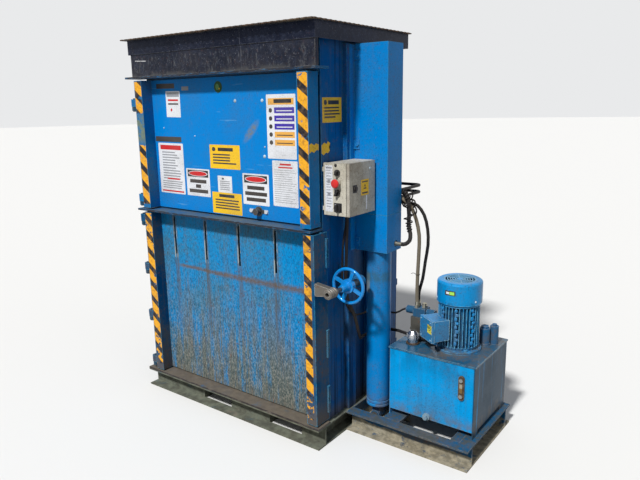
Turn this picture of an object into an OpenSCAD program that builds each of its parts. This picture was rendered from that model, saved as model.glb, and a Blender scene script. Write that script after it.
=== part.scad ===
// Vertical recycling baler with two side cylinders and a power unit on a side skid.
// X runs to the right of the doors, Y to the back, Z up. The origin lies on the floor, midway
// between the side walls, on the plane of the two cylinders.

/* [Press body] */
// Width over the two side walls
frame_w = 1184; // [1140:2:1240]
// Distance from the cylinder plane forward to the lips of the front ledges
front_d = 394; // [380:2:430]
// Distance from the cylinder plane back to the rear face
rear_d = 400; // [380:2:440]
// Thickness of the wall plates
wall_t = 8; // [6:1:10]
// Distance that the side walls stand back behind the lips
wall_setback = 97; // [94:1:110]
// Height of the lower chamber, from the base ledge to the middle ledge
bale_h = 965; // [900:5:1000]
// Height of the feed opening, from the middle ledge to the top ledge
feed_h = 708; // [640:2:760]
// Thickness of the base and middle ledges
ledge_t = 10; // [8:1:12]
// Thickness of the top ledge
top_ledge_t = 10; // [8:1:12]
// Height of the stop bar behind the middle ledge
stop_bar_h = 60; // [40:2:80]
// Thickness of the stop bars
stop_bar_t = 12; // [8:1:14]

/* [Base] */
// Height of the base channels
base_h = 103; // [90:1:120]
// Thickness of their webs and flanges
channel_t = 7; // [5:1:9]
// Width of their flanges
flange_w = 65; // [55:1:75]
// Overhang of the front channel past the left wall
base_left = 69; // [60:1:90]
// Overhang of the base past the right wall
base_right = 27; // [20:1:40]
// Clear width of a fork pocket
pocket_w = 215; // [180:5:230]
// Middle of the left fork pocket
pocket_left_x = -137; // [-150:1:-130]
// Middle of the right fork pocket
pocket_right_x = 360; // [340:1:380]
// Thickness of the chamber floor
floor_t = 8; // [6:1:12]
// Height of the strips between the strap grooves
floor_strip_h = 14; // [8:1:20]
// Width of a strap groove in the floor
groove_w = 24; // [18:1:34]

/* [Hood] */
// Height of the black fascia above the top ledge
fascia_h = 112; // [106:1:130]
// Height of the skirt under the roof
skirt_h = 72; // [60:1:90]
// Distance that the fascia and skirt reach past the right wall
hood_right = 48; // [30:1:60]
// Distance that the skirt reaches past the left wall
hood_left = 15; // [8:1:24]
// Thickness of the hood sheets
hood_t = 4; // [2:1:5]
// Overhang of the roof sheet in front
roof_front = 36; // [20:1:50]
// Overhang of the roof sheet at the sides and the back
roof_side = 12; // [6:1:20]

/* [Doors] */
// Width of the striped side channels
post_w = 60; // [50:1:70]
// Distance that the door fronts stand back behind the ledge lips
door_inset = 6; // [3:1:10]
// Depth of the recess from the lips to the door sheet
recess = 74; // [68:1:80]
// Thickness of the door sheets
sheet_t = 6; // [4:1:8]
// Thickness of the side channels
post_t = 5; // [4:1:7]
// Depth of the feed door's right side
feed_side_d = 80; // [80:1:86]
// Depth of the bale door's right side
bale_side_d = 109; // [100:1:120]
// Distance that the bale door reaches past the right wall
bale_over = 15; // [12:1:20]
// Gap above and below the bale door
bale_gap = 8; // [5:1:12]
// Gap above and below the feed door
feed_gap = 10; // [5:1:14]
// Width of the strap slots
slot_w = 14; // [8:1:20]
// Spacing of the strap slots
slot_pitch = 247; // [230:1:255]
// Middle of the four strap slots
slot_mid = -52; // [-60:1:-40]
// Length of the strap slots
slot_len = 215; // [160:5:240]
// Distance from the top of the bale door down to the slots
slot_drop = 22; // [15:1:60]

/* [Hinges] */
// Distance of the hinge axis out from the left wall
hinge_out = 30; // [27:1:36]
// Distance of the hinge axis behind the ledge lips
hinge_back = 24; // [20:1:30]
// Height of a knuckle
knuckle_h = 40; // [30:1:50]
// Radius of a knuckle
knuckle_r = 18; // [14:1:20]
// Radius of a hinge pin
hinge_pin_r = 8; // [5:1:10]
// Height of the bracket under each knuckle
bracket_h = 22; // [16:1:28]
// Thickness of the bracket plates
bracket_t = 8; // [5:1:9]
// Running clearance of a pin in its bore
run_gap = 0.05; // [0.02:0.01:0.09]

/* [Cylinders and guards] */
// Distance of a cylinder's axis from the side wall
cyl_out = 125; // [118:1:140]
// Outside radius of the barrel
barrel_r = 61; // [50:1:62]
// Height of the barrel's foot above the floor
barrel_z = 119; // [112:1:140]
// Length of the barrel
barrel_len = 886; // [874:2:900]
// Radius of the piston rod
rod_r = 24; // [18:1:30]
// Radius of the foot pin
foot_pin_r = 13; // [9:1:15]
// Height of the foot pin
foot_pin_z = 60; // [59:1:66]
// Distance from the wall to the guard
guard_gap = 37; // [34:1:46]
// Width of the guard
guard_w = 172; // [168:1:190]
// Depth of the guard
guard_d = 136; // [134:2:150]
// Thickness of the guard sheet
guard_t = 3; // [2:1:4]
// How far the guards hang down over the barrels' tops
guard_drop = 60; // [45:1:75]
// Height of the seam between the two guard covers
seam_z = 1128; // [1100:1:1200]
// Depth of the stiffeners beside the ram slots
stiff_out = 23; // [16:1:30]
// Width of the stiffeners
stiff_w = 64; // [50:1:80]

/* [Ram] */
// Travel of the ram
ram_travel = 780; // [700:5:790]
// Height of the cross beam
beam_h = 80; // [70:1:84]
// Depth of the cross beam, front to back
beam_d = 90; // [80:1:96]
// Wall thickness of the cross beam
beam_t = 10; // [6:1:12]
// Thickness of the platen
platen_t = 16; // [12:1:20]
// Gap round the platen
platen_gap = 12; // [8:1:20]
// Gap of the beam in the wall slots
slot_gap = 8; // [5:1:12]

/* [Door lock] */
// Distance of the lock spindle from the right wall
lock_out = 108; // [100:1:115]
// Height of the lock spindle
lock_z = 815; // [760:1:830]
// Distance of the wheel's rim plane behind the lips
wheel_back = 144; // [138:1:150]
// Radius of the rim's centre line
wheel_r = 82; // [74:1:90]
// Radius of the rim's section
rim_r = 8; // [6:1:9]
// Number of spokes
spokes = 4; // [3:1:6]
// Radius of the spindle
spindle_r = 9.5; // [8:0.5:12]
// Travel of the spindle
lock_travel = 40; // [30:1:44]
// Clearance of the spindle's nose in the nut on the door
nose_gap = 1.2; // [1:0.1:2]

/* [Control box] */
// Depth of the box, front to back
box_d = 222; // [200:2:222]
// Height of the box
box_h = 238; // [220:2:280]
// Width of the box body, out from the wall pads
box_w = 123; // [100:1:130]
// Thickness of the box door
box_door_t = 16; // [12:1:20]
// Height of the lower edge of the box
box_z = 1152; // [1135:1:1160]
// Distance of the box front behind the lips
box_back = 100; // [92:1:101]
// Thickness of the box sheet
box_t = 2; // [1.5:0.5:3]
// Height of the pads between wall and box
box_pad = 8; // [4:1:14]
// Gap between the box and its door
box_seal = 2; // [1:1:3]

/* [Power unit] */
// Distance from the right wall to the tank
tank_x = 215; // [205:1:240]
// Width of the tank
tank_w = 446; // [430:2:460]
// Depth of the tank
tank_d = 408; // [380:2:420]
// Front face of the tank, from the cylinder plane
tank_y = -42; // [-60:1:-38]
// Height of the tank's underside
tank_z = 135; // [125:1:145]
// Height of the tank without its lid
tank_h = 325; // [300:5:340]
// Thickness of the tank plates
tank_t = 4; // [3:1:6]
// Thickness of the lid
lid_t = 8; // [6:1:10]
// Rim that the lid leaves past the tank
lid_rim = 4; // [2:1:8]
// Position of the motor on the lid, from the tank's left side
motor_x = 280; // [270:1:290]
// Position of the motor on the lid, from the tank's front
motor_y = 181; // [172:1:190]
// Radius of the motor flange
motor_flange_r = 112; // [108:1:116]
// Radius of the motor core
motor_r = 84; // [76:1:88]
// Height of the cooling fins
fin_h = 15; // [8:1:18]
// Number of fins round the motor
fin_count = 36; // [24:4:40]
// Length of the finned body
motor_len = 229; // [215:1:260]
// Radius of the fan cowl
cowl_r = 108; // [106:1:112]
// Height of the fan cowl
cowl_h = 106; // [90:2:120]
// Width of the power skid past the tank
skid_over = 24; // [16:1:40]

/* [Hidden] */
$fn = 48;

// Clearance for faces that slide or seat without touching
seat = 0.3;
// Overlap that carries a cut clean through its wall
eps = 1;

// Press body
wall_x = frame_w / 2;
in_x = wall_x - wall_t;
front_y = -front_d;
wall_y = front_y + wall_setback;
back_in = rear_d - wall_t;
base_ledge_top = base_h + ledge_t;
mid_ledge_z = base_ledge_top + bale_h;
mid_ledge_top = mid_ledge_z + ledge_t;
top_ledge_z = mid_ledge_top + feed_h;
hood_z = top_ledge_z + top_ledge_t;
skirt_z = hood_z + fascia_h;
roof_z = skirt_z + skirt_h;
sheet_y = front_y + recess;
hinge_x = -wall_x - hinge_out;
hinge_y = front_y + hinge_back;
ledge_tip = hinge_out + knuckle_r;

// Base
base_x0 = -wall_x - base_left;
outrigger_reach = 96;
base_x1 = wall_x + base_right;
rail_y0 = front_y + flange_w;
rail_y1 = rear_d - flange_w;
centre_rail_w = 58;
pocket_edges = [pocket_left_x - pocket_w / 2, pocket_left_x + pocket_w / 2,
                pocket_right_x - pocket_w / 2, pocket_right_x + pocket_w / 2];
pocket_side_t = 6;
floor_top = base_h + floor_t;
slots = [for (i = [0:3]) slot_mid + (i - 1.5) * slot_pitch];

// Door knuckle heights, from each door's own lower edge
feed_z0 = mid_ledge_top + feed_gap;
feed_z1 = top_ledge_z - feed_gap;
bale_z0 = base_ledge_top + bale_gap;
bale_z1 = mid_ledge_z - bale_gap;
door_y = front_y + door_inset;
knuckle_clear = 30;
bale_knuckles = [for (i = [0:3]) bale_z0 + knuckle_clear
                 + i * (bale_z1 - bale_z0 - 2 * knuckle_clear - knuckle_h + 14) / 3];
feed_knuckles = [feed_z0 + knuckle_clear, feed_z1 - 3.4 * knuckle_h];
feed_right = wall_x;
bale_right = wall_x + bale_over;
left_side_d = wall_setback - door_inset - 5;

// Cylinders, guards and ram
cyl_x = wall_x + cyl_out;
barrel_top = barrel_z + barrel_len;
guard_z = barrel_top - guard_drop;
guard_x = wall_x + guard_gap;
guard_x1 = guard_x + guard_w;
guard_y = guard_d / 2;
guard_top = skirt_z - 4;
stiff_in = beam_d / 2 + slot_gap + 7;
beam_top = guard_top - guard_t - 5;
beam_z = beam_top - beam_h;
platen_z = beam_z - platen_t;
slot_z0 = beam_z - ram_travel - slot_gap;
foot_y = 24;
foot_ear_t = 10;
foot_plate_z = 25;
foot_eye_r = 22;
gland_h = 34;
barrel_bore_r = barrel_r - 11;
cavity_z0 = barrel_z + 20;
cavity_z1 = barrel_top - gland_h - 6;
piston_h = 30;

// Lock
lock_x = wall_x + lock_out;
wheel_y = front_y + wheel_back;
hub_r = 34;
hub_t = 24;
nose_len = 62;
nose_r = 15;
bush_r = 17;
eye_r = 28;
eye_len = 34;
bush_y0 = wheel_y + hub_t / 2 + seat;
eye_y0 = bush_y0 + lock_travel + 24;
bush_y1 = eye_y0 + eye_len + 6;
collar_t = 10;
nut_len = 58;
nut_y0 = front_y - 24;
nut_r = 23;
nose_y0 = nut_y0 + nut_len + 5 - lock_travel;

// Control box
box_x0 = wall_x + box_pad;
box_x1 = box_x0 + box_w;
box_back_x = wall_x + stiff_out + guard_t + 1;
box_y0 = front_y + box_back;
box_y1 = box_y0 + box_d;
panel_x = box_x0 + 0.63 * box_w;
stop_z = box_z + 149;
top_selector_z = box_z + 196;
mid_selector_z = box_z + 106;
isolator_z = box_z + 37;
button_bore_r = 10;
gland_len = 16;
gland_points = [[box_x0 + 54, box_y0 + 109], [box_x0 + 29, box_y0 + 141]];
door_hinge_x = box_x1 + box_seal + box_door_t / 2;
door_hinge_y = box_y1 - 4;
box_door_y1 = box_y1 - 9;
box_hinge_r = 4;

// Power unit
tank_x0 = wall_x + tank_x;
tank_x1 = tank_x0 + tank_w;
tank_y1 = tank_y + tank_d;
tank_top = tank_z + tank_h;
lid_top = tank_top + lid_t;
skid_x1 = tank_x1 + skid_over;
skid_front = -154;
skid_y0 = skid_front + flange_w - 5;
skid_rear = tank_y1 + 30;
filler_x = tank_x0 + 76;
filler_y = tank_y + 98;
filter_head = [34, 38];
motor_cx = tank_x0 + motor_x;
motor_cy = tank_y + motor_y;
filter_r = 25;
filter_dist = motor_flange_r + filter_r + 3;
filter_x = motor_cx + filter_dist * cos(47);
filter_y = motor_cy + filter_dist * sin(47);
flange_t = 12;
motor_z = lid_top + flange_t;
fins_top = motor_z + motor_len;
cowl_z = fins_top + 2;
cowl_top = cowl_z + cowl_h;
cowl_t = 3;
shaft_r = 14;
shaft_in = 56;
shaft_out = 66;
fan_h = 42;
terminal_z = 54;
terminal_reach = 80;
port_z = barrel_top - 26;
port_y = 18;
junction_z = 1194;
junction_x = cyl_x + 18;
junction_in = 40;
junction_out = 36;
junction_h = 42;
junction_d = 42;
valve_x = tank_x0 + 75;
valve_y = tank_y + 186;
block_h = 118;
valve_h = 46;
valve_top = lid_top + block_h + valve_h;

// Box between two corners
module plate(a, b) {
    translate(a) cube(b - a);
}

// Channel that lies along X, with its toes towards -Y and its web at the back
module channel_x(x0, x1, y0, w) {
    t = channel_t;
    translate([x0, y0, 0]) rotate([90, 0, 90]) linear_extrude(x1 - x0)
        polygon([[0, 0], [w, 0], [w, base_h], [0, base_h], [0, base_h - t], [w - t, base_h - t], [w - t, t], [0, t]]);
}

// Channel that lies along Y, with its toes towards +X and its web at x
module channel_y(x, y0, y1, w) {
    t = channel_t;
    translate([x, y1, 0]) rotate([90, 0, 0]) linear_extrude(y1 - y0)
        polygon([[0, 0], [w, 0], [w, t], [t, t], [t, base_h - t], [w, base_h - t], [w, base_h], [0, base_h]]);
}

// Mirror copy across the middle of the press
module both_sides() {
    children();
    mirror([1, 0, 0]) children();
}

module fork_cuts(y) {
    for (x = [pocket_left_x, pocket_right_x])
        plate([x - pocket_w / 2, y - flange_w, channel_t], [x + pocket_w / 2, y + flange_w, base_h - channel_t]);
}

module base_frame() color([0.13, 0.42, 0.62]) difference() {
    channel_x(base_x0, base_x1, front_y, flange_w);
    fork_cuts(rail_y0);
}

// Rear channel of the base, its web cut for the forks like the front one
module base_rear() color([0.13, 0.42, 0.62]) difference() {
    translate([0, rail_y1 + rear_d, 0]) mirror([0, 1, 0]) channel_x(-wall_x, wall_x, rail_y1, flange_w);
    fork_cuts(rail_y1);
}

// Outer fore-and-aft channels under the side walls
module base_sides() color([0.13, 0.42, 0.62]) both_sides()
    channel_y(base_x1 - flange_w, rail_y0, rail_y1, flange_w);

// Channels and plates that line the fork pockets
module base_rails() color([0.13, 0.42, 0.62]) {
    channel_y(pocket_edges[1], rail_y0, rail_y1, centre_rail_w);
    translate([2 * pocket_edges[2], 0, 0]) mirror([1, 0, 0])
        translate([pocket_edges[2], 0, 0]) channel_y(0, rail_y0, rail_y1, centre_rail_w);
    for (x = [pocket_edges[0] - pocket_side_t, pocket_edges[3]])
        plate([x, rail_y0, 0], [x + pocket_side_t, rail_y1, base_h]);
}

// Cross plate and two ears that hold a cylinder's foot, on the right-hand side
module cylinder_seat() {
    plate([cyl_x - 60, skid_y0, foot_plate_z], [cyl_x + 60, -skid_y0, foot_plate_z + 12]);
    for (s = [-1, 1]) translate([cyl_x, s * (foot_y + foot_ear_t / 2), foot_plate_z]) difference() {
        translate([0, foot_ear_t / 2, 0]) rotate([90, 0, 0]) linear_extrude(foot_ear_t) union() {
            translate([-foot_eye_r - 4, 0]) square([2 * foot_eye_r + 8, foot_pin_z - foot_plate_z]);
            translate([0, foot_pin_z - foot_plate_z]) circle(foot_eye_r + 4);
        }
        translate([0, 0, foot_pin_z - foot_plate_z]) rotate([90, 0, 0])
            cylinder(r = foot_pin_r + run_gap, h = 2 * foot_ear_t, center = true);
    }
}

module power_skid() color([0.13, 0.40, 0.58]) {
    channel_x(base_x1, skid_x1, skid_front, skid_y0 - skid_front);
    channel_y(skid_x1 - flange_w, skid_y0, skid_rear - flange_w, flange_w);
    translate([0, 2 * skid_rear, 0]) mirror([0, 1, 0])
        channel_x(base_x1, skid_x1, skid_rear, flange_w);
    plate([base_x1, skid_y0, 0], [base_x1 + channel_t, skid_rear - flange_w, base_h]);
}

// Flat bars that carry the tank, and the seat of the right-hand cylinder
module skid_bars() color([0.13, 0.40, 0.58]) {
    bar_w = 92;
    bar_t = 8;
    plate([tank_x0 - 5, skid_y0, base_h - bar_t], [tank_x0 - 5 + bar_w, skid_rear - flange_w, base_h]);
    plate([tank_x1 - bar_w + 5, skid_y0, base_h - bar_t], [skid_x1 - flange_w, skid_rear - flange_w, base_h]);
    difference() {
        plate([base_x1 + channel_t, -skid_y0, 0], [tank_x0 + bar_w / 2, -skid_y0 + channel_t, base_h - bar_t]);
        plate([cyl_x - 30, -skid_y0 - eps, base_h - 30], [cyl_x + 30, -skid_y0 + channel_t + eps, base_h]);
    }
    cylinder_seat();
}

module left_outrigger() color([0.13, 0.40, 0.58]) mirror([1, 0, 0]) {
    x1 = cyl_x + outrigger_reach;
    channel_x(base_x1, x1, skid_front, skid_y0 - skid_front);
    mirror([0, 1, 0]) channel_x(base_x1, x1, skid_front, skid_y0 - skid_front);
    plate([x1 - channel_t, skid_y0, 0], [x1, -skid_y0, base_h]);
    plate([base_x1, skid_y0, 0], [base_x1 + channel_t, -skid_y0, base_h]);
    cylinder_seat();
}

module floor_plate() color([0.35, 0.33, 0.30]) {
    edges = concat([-in_x], [for (x = slots) each [x - groove_w / 2, x + groove_w / 2]], [in_x]);
    plate([-in_x, wall_y, base_h], [in_x, back_in, floor_top]);
    for (i = [0:4])
        plate([edges[2 * i], wall_y, floor_top], [edges[2 * i + 1], back_in, floor_top + floor_strip_h]);
}

module side_walls() color([0.05, 0.45, 0.75]) both_sides() difference() {
    plate([in_x, wall_y, base_h], [wall_x, rear_d, roof_z - hood_t]);
    plate([in_x - eps, -beam_d / 2 - slot_gap, slot_z0], [wall_x + eps, beam_d / 2 + slot_gap, beam_top + slot_gap]);
}

module rear_wall() color([0.05, 0.42, 0.72]) {
    rib_w = 50;
    rib_d = 25;
    plate([-in_x, back_in, base_h], [in_x, rear_d, roof_z - hood_t]);
    for (z = [base_h + 160 : 360 : skirt_z - rib_w])
        translate([-in_x, rear_d, z]) rotate([90, 0, 90]) linear_extrude(2 * in_x)
            polygon([[0, 0], [rib_d, 8], [rib_d, rib_w - 8], [0, rib_w]]);
}

module slot_stiffeners() color([0.05, 0.40, 0.68]) both_sides()
    for (s = [0, 1]) mirror([0, s, 0])
        translate([wall_x, stiff_in, base_h + 2]) linear_extrude(guard_top - base_h - 2) difference() {
            square([stiff_out, stiff_w]);
            translate([-eps, wall_t]) square([stiff_out - wall_t + eps + 2, stiff_w - 2 * wall_t]);
        }

module ledge(x0, x1, z, t) {
    plate([x0, front_y, z], [x1, wall_y, z + t]);
}

module front_rails() color([0.10, 0.40, 0.55]) {
    bar_y = wall_y - stop_bar_t;
    ledge(base_x0, base_x1, base_h, ledge_t);
    ledge(-wall_x - ledge_tip, wall_x, mid_ledge_z, ledge_t);
    plate([-in_x, bar_y, mid_ledge_z + (ledge_t - stop_bar_h) / 2],
          [in_x, wall_y, mid_ledge_z + (ledge_t + stop_bar_h) / 2]);
    ledge(-wall_x - ledge_tip - 18, wall_x + hood_right, top_ledge_z, top_ledge_t);
    plate([-in_x, bar_y, top_ledge_z - 24], [in_x, wall_y, top_ledge_z]);
}

module hood_fascia() color([0.10, 0.10, 0.11]) {
    t = hood_t;
    right_return = 22;
    translate([0, 0, hood_z]) linear_extrude(fascia_h) polygon([
        [-wall_x, front_y], [wall_x + hood_right, front_y],
        [wall_x + hood_right, front_y + right_return], [wall_x + hood_right - t, front_y + right_return],
        [wall_x + hood_right - t, front_y + t], [-wall_x + t, front_y + t], [-wall_x + t, wall_y],
        [-wall_x, wall_y]]);
}

// Shallow tray upside down: its top lies on the wall plates and its rim hangs outside them
module hood_skirt() color([0.07, 0.07, 0.08]) difference() {
    plate([-wall_x - hood_left, front_y - hood_t, skirt_z],
          [wall_x + hood_right + hood_t, rear_d + hood_t, roof_z]);
    plate([-wall_x - hood_left + hood_t, front_y, skirt_z - eps],
          [wall_x + hood_right, rear_d, roof_z - hood_t]);
}

// Ribbed sheet laid loose on the hood, with small nibs along its cut edges
module roof_sheet() color([0.06, 0.06, 0.06]) {
    x0 = -wall_x - hood_left - roof_side;
    x1 = wall_x + hood_right + hood_t + roof_side;
    y0 = front_y - hood_t - roof_front;
    y1 = rear_d + hood_t + roof_side;
    nib = 5;
    pitch = 36;
    nibs_x = floor((x1 - x0 - pitch) / pitch);
    nibs_y = floor((y1 - y0 - pitch) / pitch);
    translate([0, 0, roof_z]) linear_extrude(5) union() {
        translate([x0, y0]) square([x1 - x0, y1 - y0]);
        for (i = [0:nibs_x]) translate([x0 + pitch * (i + 0.3), y0 - nib]) square([pitch * 0.45, nib + eps]);
        for (i = [0:nibs_y]) translate([x1 - eps, y0 + pitch * (i + 0.3)]) square([nib + eps, pitch * 0.45]);
    }
}

// Frame side of a hinge: a strap on the wall that joggles past the door and ends in a barrel
module hinge_bracket(z) {
    strap_in = -wall_x - 2;
    strap_out = strap_in - bracket_t;
    translate([0, 0, z - seat - bracket_h]) difference() {
        union() {
            linear_extrude(bracket_h) polygon([
                [strap_in, hinge_y], [strap_in, wall_y + 8], [-wall_x, wall_y + 12], [-wall_x, wall_y + 60],
                [strap_out, wall_y + 60], [strap_out, hinge_y + 18], [hinge_x, hinge_y + 18], [hinge_x, hinge_y]]);
            translate([hinge_x, hinge_y, 0]) cylinder(r = knuckle_r - 2, h = bracket_h);
        }
        translate([hinge_x, hinge_y, -eps]) cylinder(r = hinge_pin_r, h = bracket_h + 2 * eps);
    }
}

module hinge_brackets() color([0.10, 0.22, 0.32])
    for (z = concat(bale_knuckles, feed_knuckles)) hinge_bracket(z);

module hinge_pins() color([0.35, 0.33, 0.32])
    for (z = concat(bale_knuckles, feed_knuckles))
        translate([hinge_x, hinge_y, z - seat - bracket_h]) union() {
            cylinder(r = hinge_pin_r, h = bracket_h + seat + knuckle_h + 5);
            translate([0, 0, -4]) cylinder(r = hinge_pin_r + 4, h = 4);
        }

// Door side of a hinge: a block on the side channel, bored for the pin
module knuckle(z) {
    arm = 0.85 * knuckle_r;
    translate([hinge_x, hinge_y, z]) difference() {
        union() {
            cylinder(r = knuckle_r, h = knuckle_h);
            plate([0, -arm, 0], [hinge_out, arm, knuckle_h]);
        }
        translate([0, 0, -eps]) cylinder(r = hinge_pin_r + run_gap, h = knuckle_h + 2 * eps);
    }
}

// Side channel of a door, open to the back, with its outer side at x and its depth d
module door_post(x, d, side) {
    translate([x, door_y, 0]) mirror([side == "right" ? 1 : 0, 0, 0]) polygon([
        [0, 0], [post_w, 0], [post_w, sheet_y - door_y], [post_w - post_t, sheet_y - door_y],
        [post_w - post_t, post_t], [post_t, post_t], [post_t, d], [0, d]]);
}

module door_frame(right, right_d, z0, z1, knuckles) {
    translate([0, 0, z0]) linear_extrude(z1 - z0) {
        door_post(-wall_x, left_side_d, "left");
        door_post(right, right_d, "right");
    }
    for (z = knuckles) knuckle(z);
}

module feed_door_frame() color([0.10, 0.55, 0.80])
    door_frame(feed_right, feed_side_d - door_inset, feed_z0, feed_z1, feed_knuckles);

module feed_door_sheet() color([0.02, 0.50, 0.85])
    plate([-wall_x + post_t, sheet_y, feed_z0], [feed_right - post_t, sheet_y + sheet_t, feed_z1]);

module door_knob() color([0.25, 0.25, 0.27]) {
    translate([222, sheet_y, feed_z0 + 39]) rotate([90, 0, 0]) union() {
        cylinder(r = 24, h = 4);
        cylinder(r = 9, h = 18);
        translate([0, 0, 16]) cylinder(r = 17, h = 14);
        for (s = [-1, 1]) translate([s * 50, 0, 0]) cylinder(r = 10, h = 7, $fn = 6);
        plate([-60, -9, 0], [60, 9, 3]);
    }
}

module bale_door_frame() color([0.10, 0.50, 0.75]) {
    keeper_w = 15;
    y1 = door_y + bale_side_d - door_inset;
    door_frame(bale_right, bale_side_d - door_inset, bale_z0, bale_z1, bale_knuckles);
    for (z = [bale_z0 + 40, bale_z0 + 330, bale_z1 - 170]) difference() {
        plate([bale_right, y1 - keeper_w, z], [bale_right + 8, y1, z + 140]);
        plate([bale_right - eps, y1 - 11, z + 50], [bale_right + 8 + eps, y1 - 4, z + 90]);
    }
}

module bale_door_sheet() color([0.02, 0.42, 0.70]) difference() {
    plate([-wall_x + post_t, sheet_y, bale_z0], [bale_right - post_t, sheet_y + sheet_t, bale_z1]);
    for (x = slots)
        plate([x - slot_w / 2, sheet_y - eps, bale_z1 - slot_drop - slot_len],
              [x + slot_w / 2, sheet_y + sheet_t + eps, bale_z1 - slot_drop]);
}

// Arm on the bale door's right side, with a ribbed nut that takes the spindle's nose
module lock_nut() color([0.42, 0.33, 0.25]) translate([lock_x, 0, lock_z]) difference() {
    union() {
        translate([0, door_y, 0]) rotate([-90, 0, 0]) linear_extrude(nut_y0 + nut_len - door_y)
            polygon([[bale_right - lock_x, -30], [bale_right - lock_x, 30], [0, 17], [0, -17]]);
        translate([0, nut_y0, 0]) rotate([-90, 0, 0]) rotate_extrude() polygon(concat(
            [[0, 0]],
            [for (i = [0:3]) each [[nut_r - 4, i * nut_len / 4], [nut_r, i * nut_len / 4 + 3],
                                   [nut_r, (i + 1) * nut_len / 4 - 3], [nut_r - 4, (i + 1) * nut_len / 4]]],
            [[0, nut_len]]));
    }
    translate([0, nut_y0 - eps, 0]) rotate([-90, 0, 0]) cylinder(r = spindle_r + nose_gap, h = nut_len + 2 * eps);
}

// Folded cover round a rod, open towards the wall
module guard_cover(z0, z1) {
    translate([guard_x, 0, z0]) linear_extrude(z1 - z0) difference() {
        translate([0, -guard_y]) square([guard_w, 2 * guard_y]);
        translate([-eps, guard_t - guard_y]) square([guard_w - guard_t + eps, 2 * (guard_y - guard_t)]);
    }
}

module rod_guards() color([0.05, 0.50, 0.80]) both_sides() {
    guard_cover(seam_z + 1, guard_top);
    plate([guard_x, guard_t - guard_y, guard_top - guard_t], [guard_x1 - guard_t, guard_y - guard_t, guard_top]);
}

module rod_guards_lower() color([0.05, 0.50, 0.80]) both_sides() difference() {
    guard_cover(guard_z, seam_z);
    translate([guard_x1 - 2 * guard_t, port_y, port_z]) rotate([0, 90, 0]) cylinder(r = 16, h = 4 * guard_t);
}

// Angles that carry the guards on the stiffeners
module guard_rails() color([0.05, 0.38, 0.64]) both_sides()
    for (s = [0, 1]) mirror([0, s, 0])
        translate([wall_x + stiff_out, guard_y - 2 * guard_t, guard_z]) linear_extrude(guard_top - guard_z - guard_t)
            polygon([[0, 0], [guard_gap - stiff_out + 14, 0], [guard_gap - stiff_out + 14, guard_t],
                     [guard_t, guard_t], [guard_t, 40], [0, 40]]);

module guard_tabs() color([0.20, 0.60, 0.85]) both_sides()
    for (z = [guard_z + 40, (guard_z + guard_top) / 2 + 28, guard_top - 50])
        translate([guard_x, -guard_y, z]) union() {
            plate([stiff_out + guard_t + seat - guard_gap, -4, -22], [20, 0, 22]);
            translate([9, -4, 0]) rotate([90, 0, 0]) cylinder(r = 9, h = 6, $fn = 6);
        }

// Barrel with its grooved foot, foot eye, gland and rod-end port
module cylinder_body() {
    r = barrel_r;
    difference() {
        union() {
            translate([0, 0, barrel_z]) rotate_extrude() polygon([
                [0, 0], [r - 2, 0], [r + 1, 3], [r + 1, 12], [r - 2, 14], [r - 2, 17], [r + 1, 19], [r + 1, 30],
                [r - 3, 32], [r - 3, 35], [r, 37], [r, barrel_len - gland_h], [r + 2, barrel_len - gland_h],
                [r + 2, barrel_len - 4], [r - 2, barrel_len], [0, barrel_len]]);
            translate([0, foot_y - seat, 0]) rotate([90, 0, 0]) linear_extrude(2 * (foot_y - seat)) union() {
                translate([-foot_eye_r, foot_pin_z]) square([2 * foot_eye_r, barrel_z - foot_pin_z + 2]);
                translate([0, foot_pin_z]) circle(foot_eye_r);
            }
            translate([0, port_y, port_z]) rotate([0, 90, 0]) cylinder(r = 13, h = r + 6);
        }
        translate([0, 0, cavity_z0]) cylinder(r = barrel_bore_r, h = cavity_z1 - cavity_z0);
        translate([0, 0, cavity_z0]) cylinder(r = rod_r + run_gap, h = barrel_len);
        translate([0, 50, foot_pin_z]) rotate([90, 0, 0]) cylinder(r = foot_pin_r + run_gap, h = 100);
    }
}

module cylinders() color([0.05, 0.55, 0.85]) both_sides() translate([cyl_x, 0, 0]) cylinder_body();

module foot_pins() color([0.45, 0.40, 0.35]) both_sides()
    translate([cyl_x, 0, foot_pin_z]) rotate([90, 0, 0]) union() {
        cylinder(r = foot_pin_r, h = 2 * (foot_y + foot_ear_t) + 8, center = true);
        translate([0, 0, foot_y + foot_ear_t + 1]) cylinder(r = foot_pin_r + 6, h = 5);
    }

module ram_platen() color([0.30, 0.32, 0.34]) {
    x = in_x - platen_gap;
    y0 = wall_y + platen_gap;
    y1 = back_in - platen_gap;
    rib_h = 46;
    groove_cut = 6;
    difference() {
        plate([-x, y0, platen_z], [x, y1, beam_z]);
        for (s = slots) plate([s - groove_w / 2, y0 - eps, platen_z - eps], [s + groove_w / 2, y1 + eps, platen_z + groove_cut]);
    }
    for (y = [y0 + 20, y1 - 20 - 10]) plate([-x + 10, y, beam_z], [x - 10, y + 10, beam_z + rib_h]);
    for (s = [-1, 0, 1]) {
        plate([s * (x - 40) - 5, y0 + 30, beam_z], [s * (x - 40) + 5, -beam_d / 2, beam_z + rib_h]);
        plate([s * (x - 40) - 5, beam_d / 2, beam_z], [s * (x - 40) + 5, y1 - 30, beam_z + rib_h]);
    }
}

// Rectangular hollow beam that passes through both walls to the two rods
module ram_beam() color([0.28, 0.30, 0.33]) {
    x = cyl_x + rod_r + 20;
    difference() {
        plate([-x, -beam_d / 2, beam_z], [x, beam_d / 2, beam_top]);
        plate([-x - eps, beam_t - beam_d / 2, beam_z + beam_t], [x + eps, beam_d / 2 - beam_t, beam_top - beam_t]);
        both_sides() translate([cyl_x, 0, beam_z - eps]) cylinder(r = rod_r - 4, h = beam_h + 2 * eps);
    }
}

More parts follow.
